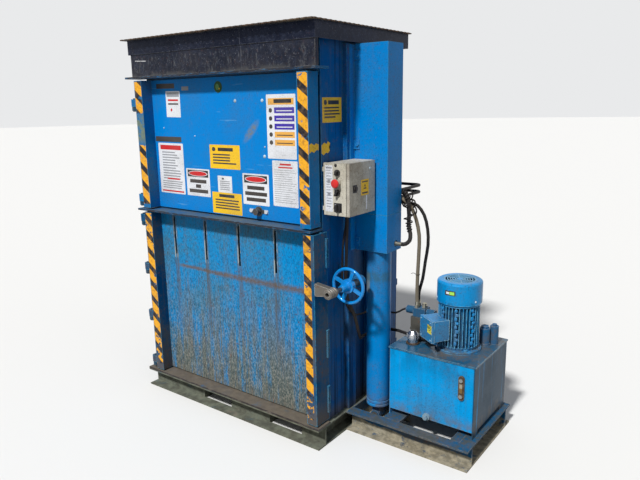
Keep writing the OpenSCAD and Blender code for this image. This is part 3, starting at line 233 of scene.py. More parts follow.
def weathered(name, colour, faded=None, under=WORN_BLUE, edges=0.7, fade=0.5, grime=0.25, runs=0.2, rust=0.3,
              floor_dirt=0.0, rough=0.42, coat=0.0, metal=0.0, size=1.0, pepper=0.4, marks=None):
    """Paint on steel that has stood outside. marks(s, tint, gloss) adds what only one piece has."""
    finish = bpy.data.materials.new(name)
    finish.use_nodes = True
    s = Shading(finish.node_tree)
    shader = finish.node_tree.nodes["Principled BSDF"]
    clouds = s.node("ShaderNodeGroup", node_tree=weather)
    clouds.inputs["Size"].default_value = size
    blotch, run, speck, grain, pits = clouds.outputs
    chipped = s.node("ShaderNodeGroup", node_tree=worn_edges).outputs["Mask"]
    faded = faded or tuple(0.6 * c + 0.4 * g for c, g in zip(colour, SUN_BLUE))
    tint = s.stain(colour, s.rise(blotch, 0.35, 0.75), fade, faded)
    tint = s.stain(tint, s.rise(grain, 0.35, 0.8), 0.10, (0.02, 0.02, 0.02, 1))
    tint = s.stain(tint, s.rise(s.plus(pits, s.times(blotch, 0.22)), 0.66, 0.76), pepper, PIT)
    tint = s.stain(tint, s.rise(run, 0.52, 0.78), runs, DIRT)
    dirty = s.times(s.rise(s.plus(blotch, s.times(speck, 0.35)), 0.60, 0.84), grime)
    if floor_dirt:
        height = s.axes()[2]
        splash = s.plus(s.rise(height, floor_dirt, 0.0), s.times(s.minus(blotch, 0.5), 0.9))
        dirty = s.math("MAXIMUM", dirty, s.times(s.rise(splash, 0.25, 0.9), 0.85))
    tint = s.mix(dirty, tint, DIRT)
    rusty = s.times(s.rise(speck, 0.60, 0.70), rust)
    tint = s.mix(rusty, tint, RUST)
    bared = s.times(chipped, edges)
    tint = s.mix(bared, tint, under)
    gloss = s.plus(rough, s.times(s.math("MAXIMUM", dirty, rusty), 0.35))
    if marks:
        tint, gloss = marks(s, tint, gloss)
    s.put(shader.inputs["Base Color"], tint)
    s.put(shader.inputs["Roughness"], gloss)
    shader.inputs["Metallic"].default_value = metal
    shader.inputs["Specular IOR Level"].default_value = 0.5 if metal or coat else 0.2
    strongest = max(colour[:3])
    glint = tuple(0.08 + 0.92 * c / strongest for c in colour[:3])
    shader.inputs["Specular Tint"].default_value = glint + (1.0,)
    shader.inputs["Coat Weight"].default_value = coat
    shader.inputs["Coat Roughness"].default_value = 0.12
    relief = s.plus(s.times(speck, 0.5), s.plus(s.times(grain, 0.25), s.times(bared, -0.5)))
    bump = s.node("ShaderNodeBump", {"Height": relief, "Strength": 0.22, "Distance": 0.0012})
    s.put(shader.inputs["Normal"], bump.outputs[0])
    return finish


def dress(finish, *names):
    """Gives CAD nodes their finish."""
    for name in names:
        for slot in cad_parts[name].material_slots:
            slot.material = finish


def base_marks(s, tint, gloss):
    """Dried mud on the front web and lip, and scraped steel along the fork pockets."""
    mud = s.patches(0.28, 0.42, 5.0, 6.0, 0.65)
    silt = s.mix(s.patches(0.35, 0.65, 19.0, 6.0, 0.7), srgb(84, 82, 70), srgb(114, 116, 100))
    tint = s.stain(tint, mud, 0.92, silt)
    scrape = s.patches(0.60, 0.68, 9.0, 5.0, 0.7, (1.0, 1.0, 5.0))
    tint = s.stain(tint, scrape, 0.7, srgb(120, 112, 100))
    return tint, s.math("MAXIMUM", gloss, s.times(mud, 0.82))


base_finish = weathered("dirty base steel", srgb(52, 84, 98), fade=0.6, grime=0.9, runs=0.5, rust=0.8,
                        edges=0.8, under=srgb(110, 92, 74), rough=0.6, marks=base_marks)
dress(base_finish, "base_frame", "base_rear", "base_sides", "base_rails")


def skid_marks(s, tint, gloss):
    """Pale dust with a ragged upper edge on the webs, paint that shows through it, and dark dirt on top."""
    z = s.axes()[2]
    edge = s.plus(0.014, s.times(s.noise(5.0, 5.0, 0.6), 0.070))
    dust = s.times(s.rise(s.minus(z, edge), 0.004, -0.006), s.patches(0.34, 0.44, 20.0, 6.0, 0.75))
    dry = s.mix(s.patches(0.35, 0.65, 26.0, 5.0, 0.7), srgb(126, 118, 98), srgb(170, 160, 136))
    tint = s.stain(tint, dust, 0.88, dry)
    trodden = s.times(s.rise(z, 0.097, 0.101), s.patches(0.43, 0.56, 24.0, 6.0, 0.8))
    return s.stain(tint, trodden, 0.8, srgb(72, 74, 68)), s.math("MAXIMUM", gloss, 0.6)


skid_finish = weathered("dirty skid steel", srgb(10, 74, 112), fade=0.4, grime=0.75, runs=0.3, rust=0.8,
                        edges=1.0, under=srgb(124, 118, 106), rough=0.6, marks=skid_marks)
dress(skid_finish, "power_skid", "skid_bars", "left_outrigger")
dress(weathered("scuffed floor plate", srgb(96, 94, 90), under=BARE, fade=0.3, grime=0.8, rust=0.9,
                rough=0.55, metal=0.5), "floor_plate")


# ---- Chamber walls and ledges -------------------------------------------------------------------
# Steel sheet walls in blue paint, darkened as painted shade, with channel stiffeners beside the
# ram slots. Three ledges of folded plate run across the front, and bales and boots have worn their
# tops to grey primer.

def wall_marks(s, tint, gloss):
    """Oil and rust that ran down the outside from the slots."""
    z = s.axes()[2]
    run = s.noise(1.0, 4.0, 0.6, (3.0, 55.0, 1.1), (0.4, 0.1, 0.2))
    low = s.rise(z, 1.3, 0.2)
    oil = s.rise(s.plus(run, s.times(low, 0.08)), 0.56, 0.70)
    return s.stain(tint, oil, 0.7, srgb(12, 22, 30)), gloss


# The walls' blue is darker than the doors': painted shade, for side walls that stand in shade.
wall_paint_and_shade = weathered("blue wall paint with painted shade", srgb(0, 82, 146), grime=0.3, runs=0.3, rust=0.4,
                        floor_dirt=0.3, marks=wall_marks)
dress(wall_paint_and_shade, "side_walls", "rear_wall", "slot_stiffeners")

LEDGE_TOPS = (0.1150, 1.0900, 1.8080)


def ledge_marks(s, tint, gloss):
    """Grey grit on the flat tops, and a lip rubbed down to dark steel."""
    _, y, z = s.axes()
    flat = 0.0
    for top in LEDGE_TOPS:
        flat = s.math("MAXIMUM", flat, s.band(z, top - 0.0028, top, 0.0004))
    grit = s.patches(0.34, 0.60, 14.0, 6.0, 0.7)
    tint = s.stain(tint, s.times(flat, grit), 0.8, srgb(84, 96, 102))
    trodden = s.times(s.rise(z, 0.20, 0.12), s.patches(0.26, 0.44, 8.0, 6.0, 0.7))
    tint = s.stain(tint, trodden, 0.9, s.mix(s.noise(30.0, 5.0), srgb(76, 66, 54), srgb(122, 110, 92)))
    lip = s.times(s.rise(y, -0.3925, -0.3938), s.patches(0.36, 0.52, 18.0, 5.0, 0.7, (1.0, 1.0, 6.0)))
    tint = s.stain(tint, lip, 0.92, s.mix(s.noise(60.0, 3.0), srgb(20, 20, 22), srgb(66, 56, 48)))
    return tint, s.plus(gloss, s.times(flat, 0.2))


rail_finish = weathered("worn ledge paint", srgb(8, 84, 132), fade=0.5, grime=0.5, rust=0.6, edges=0.8,
                        under=srgb(104, 124, 132), marks=ledge_marks)
dress(rail_finish, "front_rails")


# ---- Hood ---------------------------------------------------------------------------------------
# A box of thin black sheet closes the top of the press and hides the ram. Its front has gone
# mottled grey and has a joint right of the middle. The roof sheet is ragged along its front edge.

HOOD_JOINT = 0.2100


def hood_marks(s, tint, gloss):
    """Pale specks and lime runs, one long scratch at the left, and the joint of the two front sheets."""
    x, y, z = s.axes()
    mottle = s.patches(0.42, 0.66, 34.0, 6.0, 0.75)
    tint = s.stain(tint, mottle, 0.35, srgb(52, 58, 74))
    salt = s.patches(0.60, 0.68, 120.0, 4.0, 0.85, None, (2.0, 0, 0))
    tint = s.stain(tint, salt, 0.75, srgb(124, 126, 134))
    lime = s.times(s.rise(z, 1.905, 1.895), s.patches(0.52, 0.66, 1.0, 6.0, 0.8, (70.0, 70.0, 22.0)))
    tint = s.stain(tint, lime, 0.45, srgb(104, 106, 108))
    sloped = s.minus(z, s.plus(1.884, s.times(s.plus(x, 0.513), -0.05)))
    scratch = s.times(s.band(sloped, -0.0022, 0.0022, 0.001), s.band(x, -0.557, -0.470, 0.004))
    tint = s.mix(s.times(scratch, s.patches(0.35, 0.5, 60.0, 3.0)), tint, srgb(190, 190, 192))
    joint = s.times(s.band(x, HOOD_JOINT - 0.0015, HOOD_JOINT + 0.0015, 0.0006), s.rise(y, -0.380, -0.3885))
    tint = s.mix(joint, tint, srgb(8, 8, 10))
    tint = s.stain(tint, s.band(x, HOOD_JOINT + 0.0020, HOOD_JOINT + 0.0050, 0.0006), 0.5, srgb(90, 94, 104))
    dust = s.times(s.rise(z, 1.83, 1.806), s.patches(0.4, 0.6, 11.0, 4.0))
    tint = s.stain(tint, dust, 0.6, srgb(78, 78, 76))
    return tint, gloss


fascia_finish = weathered("mottled black sheet", srgb(14, 17, 26), faded=srgb(34, 38, 50),
                          under=srgb(112, 108, 104), fade=0.6, grime=0.12, runs=0.1, rust=0.2, edges=0.9,
                          rough=0.5, pepper=0.0, marks=hood_marks)
dress(fascia_finish, "hood_fascia")
# The skirt is blacker than the front sheet: its own black paint, and painted shadow of the roof's overhang.
skirt_paint_and_shadow = weathered("black hood paint and painted shadow", srgb(7, 10, 20), faded=srgb(20, 27, 44),
                         under=srgb(78, 82, 92), fade=0.6, grime=0.03, runs=0.08, rust=0.1, edges=0.6,
                         rough=0.4, pepper=0.0, marks=hood_marks)
dress(skirt_paint_and_shadow, "hood_skirt")
dress(weathered("roof sheet", srgb(40, 40, 42), faded=srgb(88, 84, 78), under=srgb(104, 80, 60), fade=0.8,
                grime=0.6, rust=0.8, edges=1.0, rough=0.6), "roof_sheet")


# ---- Hinges -------------------------------------------------------------------------------------
# Welded brackets and loose pins on the left carry both doors. They are painted with the body, and
# grease and rust have turned them dark.

hinge_finish = weathered("greasy hinge steel", srgb(30, 62, 84), fade=0.5, grime=0.8, rust=0.9, edges=0.8,
                         under=srgb(120, 110, 98), rough=0.5, metal=0.2)
dress(hinge_finish, "hinge_brackets", "hinge_pins")


# ---- Feed door ----------------------------------------------------------------------------------
# The upper door: a sheet set back between two folded posts. Black and yellow tape covers the
# posts' fronts, torn and dirty at the left. Instruction labels are stuck all over the sheet.

POST_FRONT = -0.3876
POST_INNER, POST_OUTER = 0.5345, 0.5895
STRIPE_HEIGHT, STRIPE_WIDTH = 0.096, 0.128


def hazard_tape(tape_low, tape_high, wear, lost=None):
    """Slanting black and yellow tape on the posts' fronts between two heights. More of it has worn
    off where wear is higher. Between the two heights in lost, the left post keeps little but glue."""
    def marks(s, tint, gloss):
        x, y, z = s.axes()
        front = s.rise(y, POST_FRONT + 0.0008, POST_FRONT)
        taped = s.times(front, s.band(s.math("ABSOLUTE", x), POST_INNER, POST_OUTER, 0.0012),
                        s.band(z, tape_low, tape_high, 0.002))
        kicked = s.times(s.rise(z, 0.42, 0.14), 0.13)
        left_over = s.minus(s.noise(22.0, 6.0, 0.72, None, (1.7, 0.3, 0.2)), kicked)
        if lost:
            peeled = s.times(s.band(z, *lost, 0.03), s.rise(x, 0.0, -0.1))
            left_over = s.minus(left_over, s.times(peeled, 0.5))
            glue = s.times(front, peeled, s.patches(0.32, 0.5, 30.0, 5.0, 0.7))
            residue = s.mix(s.noise(50.0, 3.0), srgb(92, 106, 72), srgb(148, 146, 84))
            tint = s.stain(tint, glue, 0.75, residue)
        taped = s.times(taped, s.rise(left_over, wear - 0.05, wear - 0.01))
        slope = s.plus(s.math("DIVIDE", z, STRIPE_HEIGHT), s.math("DIVIDE", x, STRIPE_WIDTH))
        stripe = s.math("FRACT", s.plus(slope, 20.0))
        yellow = s.mix(s.patches(0.45, 0.75, 70.0, 4.0, 0.7), srgb(238, 172, 44), srgb(176, 118, 46))
        black = s.mix(s.patches(0.45, 0.70, 26.0, 5.0, 0.7), srgb(36, 34, 36), srgb(104, 84, 62))
        tape = s.mix(s.band(stripe, 0.10, 0.50, 0.02), yellow, black)
        grubby = s.patches(0.52, 0.72, 12.0, 6.0, 0.72, None, (5.0, 0, 0))
        tape = s.stain(tape, grubby, 0.6, srgb(96, 74, 56))
        return s.mix(taped, tint, tape), s.minus(gloss, s.times(taped, 0.08))
    return marks


dress(weathered("feed door posts", srgb(2, 106, 168), rust=0.5, edges=1.0, grime=0.3,
                marks=hazard_tape(1.118, 1.782, 0.42, lost=(1.46, 1.60))), "feed_door_frame")


def feed_marks(s, tint, gloss):
    """A slanting rub as wide as a hand near the middle of the front, and thin scratches."""
    x, y, z = s.axes()
    front = s.rise(y, -0.3160, -0.3190)
    from_rub = s.node("ShaderNodeCombineXYZ", {0: s.minus(x, 0.190), 1: 0.0, 2: s.minus(z, 1.524)})
    slanted = s.node("ShaderNodeMapping", {"Vector": from_rub.outputs[0], "Rotation": (0.0, -0.80, 0.0),
                                           "Scale": (0.078, 1.0, 0.024)}, vector_type="TEXTURE").outputs[0]
    far = s.node("ShaderNodeVectorMath", {0: slanted}, operation="LENGTH").outputs["Value"]
    rub = s.times(s.rise(far, 1.15, 0.3), s.patches(0.30, 0.55, 70.0, 5.0, 0.8))
    tint = s.stain(tint, s.times(front, rub), 0.85, srgb(120, 122, 112))
    scratch = s.patches(0.735, 0.75, 4.0, 2.0, 0.5, (1.0, 1.0, 18.0), (7.0, 0, 0))
    return s.stain(tint, s.times(front, scratch), 0.35, srgb(120, 176, 210)), gloss


feed_sheet_finish = weathered("clean blue sheet", srgb(0, 127, 207), fade=0.25, grime=0.12, runs=0.08,
                              rust=0.15, edges=0.5, rough=0.34, marks=feed_marks)
dress(feed_sheet_finish, "feed_door_sheet")

KNOB_X = 0.222


def knob_marks(s, tint, gloss):
    """The two bolts beside the knob are bright zinc."""
    x = s.axes()[0]
    bolt = s.rise(s.math("ABSOLUTE", s.minus(x, KNOB_X)), 0.034, 0.038)
    return s.mix(bolt, tint, srgb(206, 210, 214)), gloss


dress(weathered("dark turned knob", srgb(40, 42, 46), faded=srgb(88, 90, 92), under=BARE, grime=0.3,
                rust=0.3, rough=0.4, metal=0.3, marks=knob_marks), "door_knob")


def printed(name, colour):
    """Vinyl label stock: slightly faded, with dust and fine scratches."""
    return weathered(name, colour, faded=tuple(0.75 * c + 0.12 for c in colour[:3]) + (1.0,), edges=0.0,
                     fade=0.35, grime=0.16, runs=0.0, rust=0.06, rough=0.35, size=2.0)


INKS = {ink: printed(name, srgb(*shade)) for ink, name, shade in (
    ("white", "white vinyl", (228, 230, 234)), ("red", "red print", (206, 42, 44)),
    ("black", "black print", (34, 34, 36)), ("yellow", "yellow vinyl", (244, 196, 40)),
    ("violet", "violet print", (70, 56, 164)), ("orange", "orange print", (236, 176, 84)),
    ("grey", "grey print", (150, 152, 158)), ("dark", "dark strip", (64, 60, 58)),
    ("green", "green sticker", (34, 66, 30)), ("leaf", "pale green print", (96, 140, 84)),
    ("bright_green", "bright green print", (168, 226, 96)), ("lemon", "lemon vinyl", (250, 240, 84)))}


def finished(bm, name, body, *finishes, smooth=False):
    """Turns a bmesh into a piece that rides on a body."""
    data = bpy.data.meshes.new(name)
    bm.to_mesh(data)
    bm.free()
    for finish in finishes:
        data.materials.append(finish)
    if smooth:
        for face in data.polygons:
            face.use_smooth = True
    piece = bpy.data.objects.new(name, data)
    bpy.context.scene.collection.objects.link(piece)
    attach(piece, body)


LABEL_THICK = 0.0003
PRINT_LIFT = 0.0001
PRINT_LAYER = 0.00002


def field(bm, turn_out, left, right, low, high, lift, ink, shape="bar"):
    """One flat patch of a label. turn_out carries the label's plane, u across and v up, to the object."""
    before = set(bm.faces)
    if shape == "round":
        made = bmesh.ops.create_circle(bm, cap_ends=True, segments=28, radius=0.5)
    elif shape == "triangle":
        made = {"verts": [bm.verts.new(at) for at in ((-0.5, -0.5, 0), (0.5, -0.5, 0), (0, 0.5, 0))]}
        bm.faces.new(made["verts"])
    else:
        made = bmesh.ops.create_grid(bm, x_segments=1, y_segments=1, size=0.5)
    verts = made["verts"]
    bmesh.ops.scale(bm, vec=(right - left, high - low, 1.0), verts=verts)
    bmesh.ops.translate(bm, vec=((left + right) / 2, (low + high) / 2, lift), verts=verts)
    bmesh.ops.transform(bm, matrix=turn_out, verts=verts)
    for face in set(bm.faces) - before:
        face.material_index = ink


FACING_FRONT = Matrix.Rotation(math.radians(90), 4, "X")
FACING_RIGHT = Matrix.Rotation(math.radians(90), 4, "Z") @ FACING_FRONT


def label(name, body, turn_out, width, height, stock, fields):
    """A label of stock that lies in turn_out's plane from its low left corner. Its fields are
    (left, right, low, high, ink) as shares of its size, with a shape last where it is no bar."""
    used = [stock] + sorted({f[4] for f in fields} - {stock})
    bm = bmesh.new()
    bmesh.ops.create_grid(bm, x_segments=2, y_segments=2, size=0.5)
    bmesh.ops.scale(bm, vec=(width, height, 1.0), verts=bm.verts)
    bmesh.ops.translate(bm, vec=(width / 2, height / 2, LABEL_THICK), verts=bm.verts)
    corners = [v for v in bm.verts if len(v.link_faces) == 1]
    bmesh.ops.bevel(bm, geom=corners, offset=min(width, height) * 0.025, affect="VERTICES", segments=2,
                    profile=0.5, material=-1)
    back = bmesh.ops.extrude_face_region(bm, geom=bm.faces[:], use_keep_orig=True)["geom"]
    bmesh.ops.translate(bm, vec=(0, 0, -LABEL_THICK * 0.9),
                        verts=[v for v in back if isinstance(v, bmesh.types.BMVert)])
    bmesh.ops.recalc_face_normals(bm, faces=bm.faces)
    bmesh.ops.transform(bm, matrix=turn_out, verts=bm.verts)
    for layer, (left, right, low, high, ink, *shape) in enumerate(fields):
        field(bm, turn_out, left * width, right * width, low * height, high * height,
              LABEL_THICK + PRINT_LIFT + layer * PRINT_LAYER, used.index(ink), *shape)
    finished(bm, name, body, *[INKS[ink] for ink in used])


def print_rows(left, right, low, high, count, ink="grey", share=0.45):
    """Even rows of small print, drawn as plain bars of slightly different lengths."""
    rows = []
    pitch = (high - low) / count
    for i in range(count):
        end = right - (right - left) * random.choice((0.0, 0.06, 0.18, 0.02, 0.3))
        rows.append((left, end, high - (i + share) * pitch, high - i * pitch, ink))
    return rows


DOOR_PLANE = -0.320
WALL_PLANE = 0.592


def door_label(name, left, right, z0, z1, stock, fields, body="feed_door", lean=0.0, plane=DOOR_PLANE,
               facing=FACING_FRONT):
    """A label on a door's sheet or another upright plane, turned by a few degrees where it sits askew."""
    corner = (left, plane, z0) if facing is FACING_FRONT else (plane, left, z0)
    turn_out = Matrix.Translation(corner) @ Matrix.Rotation(math.radians(lean), 4, "Y") @ facing
    label(name, body, turn_out, right - left, z1 - z0, stock, fields)


notice = [(0.06, 0.94, 0.70, 0.95, "black"), (0.09, 0.91, 0.725, 0.925, "white", "round"),
          (0.12, 0.88, 0.742, 0.908, "red", "round")]
door_label("label_top_left", -0.421, -0.309, 1.593, 1.728, "white",
           [(0.06, 0.94, 0.78, 0.95, "grey"), (0.14, 0.86, 0.62, 0.69, "red"),
            (0.14, 0.86, 0.48, 0.54, "dark"), (0.30, 0.42, 0.22, 0.34, "red", "round")], lean=1.0)
door_label("label_strip_upper", -0.492, -0.346, 1.742, 1.768, "dark", [], lean=0.6)
door_label("label_strip_lower", -0.528, -0.318, 1.462, 1.490, "dark", [], lean=0.4)
door_label("label_small_plate", -0.290, -0.238, 1.728, 1.748, "grey", [])
door_label("label_left_notice", -0.512, -0.311, 1.181, 1.455, "white",
           [(0.08, 0.92, 0.87, 0.96, "red")] + print_rows(0.14, 0.88, 0.26, 0.83, 11) +
           [(0.30, 0.80, 0.28, 0.31, "red"), (0.06, 0.94, 0.03, 0.06, "red")] +
           print_rows(0.10, 0.90, 0.08, 0.25, 4), lean=0.4)
door_label("label_danger_left", -0.295, -0.116, 1.180, 1.325, "white",
           notice + [(0.15, 0.85, 0.48, 0.61, "dark"), (0.39, 0.61, 0.30, 0.43, "dark"),
                     (0.10, 0.90, 0.12, 0.25, "dark")])
door_label("label_danger_right", 0.119, 0.292, 1.166, 1.320, "white",
           notice + [(0.17, 0.83, 0.49, 0.61, "dark"), (0.08, 0.92, 0.30, 0.42, "dark"),
                     (0.13, 0.87, 0.11, 0.23, "dark")])
door_label("label_yellow_upper", -0.105, 0.108, 1.334, 1.455, "yellow",
           [(0.08, 0.20, 0.72, 0.90, "dark", "round"), (0.28, 0.78, 0.74, 0.88, "black")] +
           print_rows(0.10, 0.92, 0.14, 0.62, 4, "dark", 0.5))
door_label("label_yellow_lower", -0.103, 0.107, 1.102, 1.212, "yellow",
           [(0.24, 0.76, 0.78, 0.92, "black")] + print_rows(0.10, 0.92, 0.16, 0.68, 4, "dark", 0.5))
door_label("label_small_white", -0.057, 0.044, 1.2125, 1.298, "white",
           [(0.30, 0.44, 0.78, 0.88, "black")] + print_rows(0.14, 0.86, 0.10, 0.70, 5))
tall_panel = [(0.06, 0.94, 0.84, 0.94, "orange"), (0.26, 0.86, 0.865, 0.925, "black")]
for row, ink in enumerate(("violet", "violet", "violet", "orange", "orange")):
    top = 0.80 - row * 0.125
    tall_panel += [(0.27, 0.95, top - 0.09, top, ink), (0.08, 0.20, top - 0.08, top - 0.01, "dark", "round"),
                   (0.34, 0.88, top - 0.06, top - 0.045, "white" if ink == "violet" else "dark")]
door_label("label_tall_panel", 0.293, 0.469, 1.399, 1.695, "white", tall_panel)
door_label("label_paper_form", 0.318, 0.472, 1.173, 1.391, "white",
           [(0.30, 0.74, 0.90, 0.94, "red"), (0.24, 0.80, 0.84, 0.87, "red")] +
           print_rows(0.06, 0.94, 0.05, 0.80, 16, "grey", 0.2))
door_label("label_side_placard", -0.285, -0.135, 1.565, 1.676, "yellow",
           [(0.08, 0.24, 0.70, 0.90, "dark", "round"), (0.30, 0.86, 0.72, 0.88, "black")] +
           print_rows(0.10, 0.92, 0.12, 0.62, 4, "dark", 0.5),
           body="frame", facing=FACING_RIGHT, plane=WALL_PLANE)


def torn_patch(name, body, points):
    """A scrap of yellow tape on the right-hand side, drawn as a flat ragged outline of (y, z) points."""
    bm = bmesh.new()
    bm.faces.new([bm.verts.new((WALL_PLANE + 0.0005, y, z)) for y, z in points])
    bmesh.ops.triangulate(bm, faces=bm.faces)
    if next(iter(bm.faces)).normal.x < 0:
        bmesh.ops.reverse_faces(bm, faces=bm.faces)
    finished(bm, name, body, INKS["yellow"])


torn_patch("torn_tape_door", "feed_door", (
    (-0.386, 1.436), (-0.368, 1.444), (-0.352, 1.437), (-0.334, 1.448), (-0.317, 1.446), (-0.317, 1.472),
    (-0.336, 1.478), (-0.350, 1.471), (-0.371, 1.480), (-0.386, 1.474)))
torn_patch("torn_tape_wall", "frame", (
    (-0.296, 1.430), (-0.280, 1.421), (-0.262, 1.432), (-0.247, 1.428), (-0.232, 1.440), (-0.238, 1.456),
    (-0.229, 1.472), (-0.246, 1.482), (-0.258, 1.470), (-0.274, 1.478), (-0.296, 1.466)))
round_sticker = bmesh.new()
sticker_plane = Matrix.Translation((-0.048, DOOR_PLANE, 1.710)) @ FACING_FRONT
for ink, patch in enumerate(((0.0, 0.056, 0.0, 0.057, LABEL_THICK),
                             (0.010, 0.034, 0.014, 0.044, LABEL_THICK + PRINT_LIFT),
                             (0.030, 0.040, 0.016, 0.024, LABEL_THICK + PRINT_LIFT))):
    field(round_sticker, sticker_plane, *patch, ink, "round")
finished(round_sticker, "sticker_round_green", "feed_door", INKS["green"], INKS["leaf"], INKS["yellow"])


def dome_head(name, body, centre, radius, height, out, finish):
    """A small domed rivet or screw head that stands out along out."""
    bm = bmesh.new()
    bmesh.ops.create_circle(bm, cap_ends=False, segments=16, radius=radius)
    ring = list(bm.edges)
    for share, lift in ((0.86, 0.55), (0.55, 0.9), (0.18, 1.0)):
        made = bmesh.ops.extrude_edge_only(bm, edges=ring)["geom"]
        ring = [g for g in made if isinstance(g, bmesh.types.BMEdge)]
        verts = [g for g in made if isinstance(g, bmesh.types.BMVert)]
        scale = share * radius / max(v.co.xy.length for v in verts)
        for v in verts:
            v.co.x *= scale
            v.co.y *= scale
            v.co.z = lift * height
    bmesh.ops.contextual_create(bm, geom=ring)
    bmesh.ops.recalc_face_normals(bm, faces=bm.faces)
    turn_out = Vector(out).to_track_quat("Z", "Y").to_matrix().to_4x4()
    bmesh.ops.transform(bm, matrix=Matrix.Translation(centre) @ turn_out, verts=bm.verts)
    finished(bm, name, body, finish, smooth=True)


pale_head = weathered("painted rivet head", srgb(196, 214, 226), under=BARE, edges=0.4, grime=0.3,
                      rust=0.3, rough=0.4)
for i, (x, z, radius) in enumerate((
        (0.092, 1.669, 0.0085), (0.268, 1.668, 0.0085), (0.276, 1.452, 0.004), (0.271, 1.407, 0.0085),
        (-0.452, 1.535, 0.004), (-0.209, 1.496, 0.004))):
    dome_head(f"sheet_rivet_{i + 1}", "feed_door", (x, DOOR_PLANE, z), radius, 0.003, (0, -1, 0), pale_head)


# ---- Bale door ----------------------------------------------------------------------------------
# The lower door holds the bale back. Its deep posts carry the same tape, four slots near the top
# let the straps through. Bales have rubbed a level belt to rust, and grey and brown runs hang below.

BELT_Z = 0.770
SLOT_PITCH, SLOT_FIRST = 0.247, -0.4225


def bale_marks(s, tint, gloss):
    """The rubbed belt, grey and brown runs below it and under the strap slots, and flecks all over."""
    x, _, z = s.axes()
    below = s.rise(z, 0.80, 0.66)
    low = s.rise(z, 0.95, 0.15)
    belt_z = s.plus(BELT_Z, s.times(s.minus(s.noise(7.0, 3.0), 0.5), 0.03))
    belt_half = s.plus(0.016, s.times(s.rise(x, -0.4, 0.5), 0.014))
    belt = s.rise(s.math("ABSOLUTE", s.minus(z, belt_z)), belt_half, 0.002)
    run = s.noise(1.0, 6.0, 0.72, (120.0, 8.0, 1.6), (0.3, 0, 0.7))
    broad = s.noise(1.0, 4.0, 0.6, (9.0, 4.0, 1.6), (2.1, 0, 0.4))
    fine = s.noise(1.0, 6.0, 0.8, (190.0, 8.0, 16.0), (4.0, 0, 0))
    drive = s.plus(s.plus(run, s.times(s.minus(broad, 0.5), 0.8)), s.times(low, 0.10))
    grey = s.times(s.rise(drive, 0.47, 0.62), s.plus(0.12, s.times(low, 0.85)))
    tint = s.mix(grey, tint, srgb(108, 114, 104))
    patchy = s.plus(s.times(low, 0.10), s.times(s.minus(broad, 0.5), 0.35))
    grain = s.rise(s.plus(fine, patchy), 0.53, 0.62)
    tint = s.stain(tint, grain, s.plus(0.30, s.times(low, 0.4)),
                   s.mix(run, srgb(34, 46, 48), srgb(104, 108, 100)))
    brown = s.times(s.patches(0.54, 0.66, 1.0, 6.0, 0.75, (110.0, 8.0, 9.0), (6.0, 0, 0)),
                    s.plus(0.06, s.times(below, 0.5)))
    tint = s.mix(brown, tint, srgb(112, 66, 40))
    flecks = s.noise(170.0, 2.0, 0.55, (1.0, 1.0, 0.5))
    tint = s.stain(tint, s.rise(flecks, 0.55, 0.63), s.plus(0.36, s.times(low, 0.20)), srgb(24, 38, 46))
    bright = s.mix(low, srgb(20, 150, 214), srgb(166, 158, 144))
    tint = s.stain(tint, s.rise(flecks, 0.45, 0.37), 0.42, bright)
    rubbed = s.times(belt, s.patches(0.32, 0.5, 50.0, 6.0, 0.75, (1.0, 1.0, 2.0)), s.rise(x, -0.44, -0.36))
    tint = s.stain(tint, rubbed, 0.85, s.mix(s.noise(60.0, 3.0), srgb(80, 62, 48), srgb(122, 100, 78)))
    pitches = s.math("DIVIDE", s.minus(x, SLOT_FIRST - SLOT_PITCH / 2), SLOT_PITCH)
    slot_x = s.math("ABSOLUTE", s.minus(s.math("FRACT", pitches), 0.5))
    hang = s.times(s.rise(slot_x, 0.11, 0.02), s.rise(z, 0.20, 0.80),
                   s.patches(0.36, 0.56, 1.0, 5.0, 0.7, (90.0, 4.0, 4.0), (9.0, 0, 0)))
    tint = s.stain(tint, hang, 0.7, s.mix(run, srgb(46, 50, 48), srgb(118, 100, 82)))
    beside = s.times(s.band(slot_x, 0.026, 0.052, 0.004), s.band(z, 0.815, 1.060, 0.008),
                     s.patches(0.42, 0.56, 26.0, 5.0, 0.7, (1.0, 1.0, 0.4)))
    tint = s.stain(tint, beside, 0.8, srgb(176, 184, 182))
    foot = s.times(s.rise(z, 0.20, 0.12), s.patches(0.40, 0.6, 1.0, 5.0, 0.7, (60.0, 8.0, 12.0)))
    tint = s.stain(tint, foot, 0.6, srgb(104, 100, 88))
    return tint, s.plus(gloss, s.times(s.math("MAXIMUM", grey, brown), 0.22))


dress(weathered("rubbed bale sheet", srgb(0, 132, 198), faded=(0.010, 0.235, 0.37, 1.0), fade=0.7, grime=0.35,
                runs=0.25, rust=0.7, edges=0.8, rough=0.45, marks=bale_marks), "bale_door_sheet")
# The posts' blue is darker than the feed door posts': painted shade for their shaded sides.
dress(weathered("bale door posts with painted shade", srgb(4, 70, 112), rust=0.8, edges=1.0, grime=0.6, runs=0.4,
                floor_dirt=0.45, marks=hazard_tape(0.150, 1.066, 0.44)), "bale_door_frame")
dress(weathered("rusty ribbed nut", srgb(104, 100, 94), faded=srgb(128, 126, 120),
                under=srgb(176, 174, 168), fade=0.8, grime=0.5, rust=0.6, edges=0.9, rough=0.5,
                metal=0.35), "lock_nut")


# ---- Cylinder guards ----------------------------------------------------------------------------
# Folded blue covers over the rods, bolted to the walls in two lengths. Below them the barrels
# stand in the open, each on an eye and a pin. The barrel's side is scuffed to bare steel.

guard_finish = weathered("blue guard paint", srgb(0, 124, 200), fade=0.35, grime=0.15, runs=0.22, rust=0.3,
                         edges=0.7, rough=0.38)
dress(guard_finish, "rod_guards", "rod_guards_lower", "guard_tabs", "guard_rails")


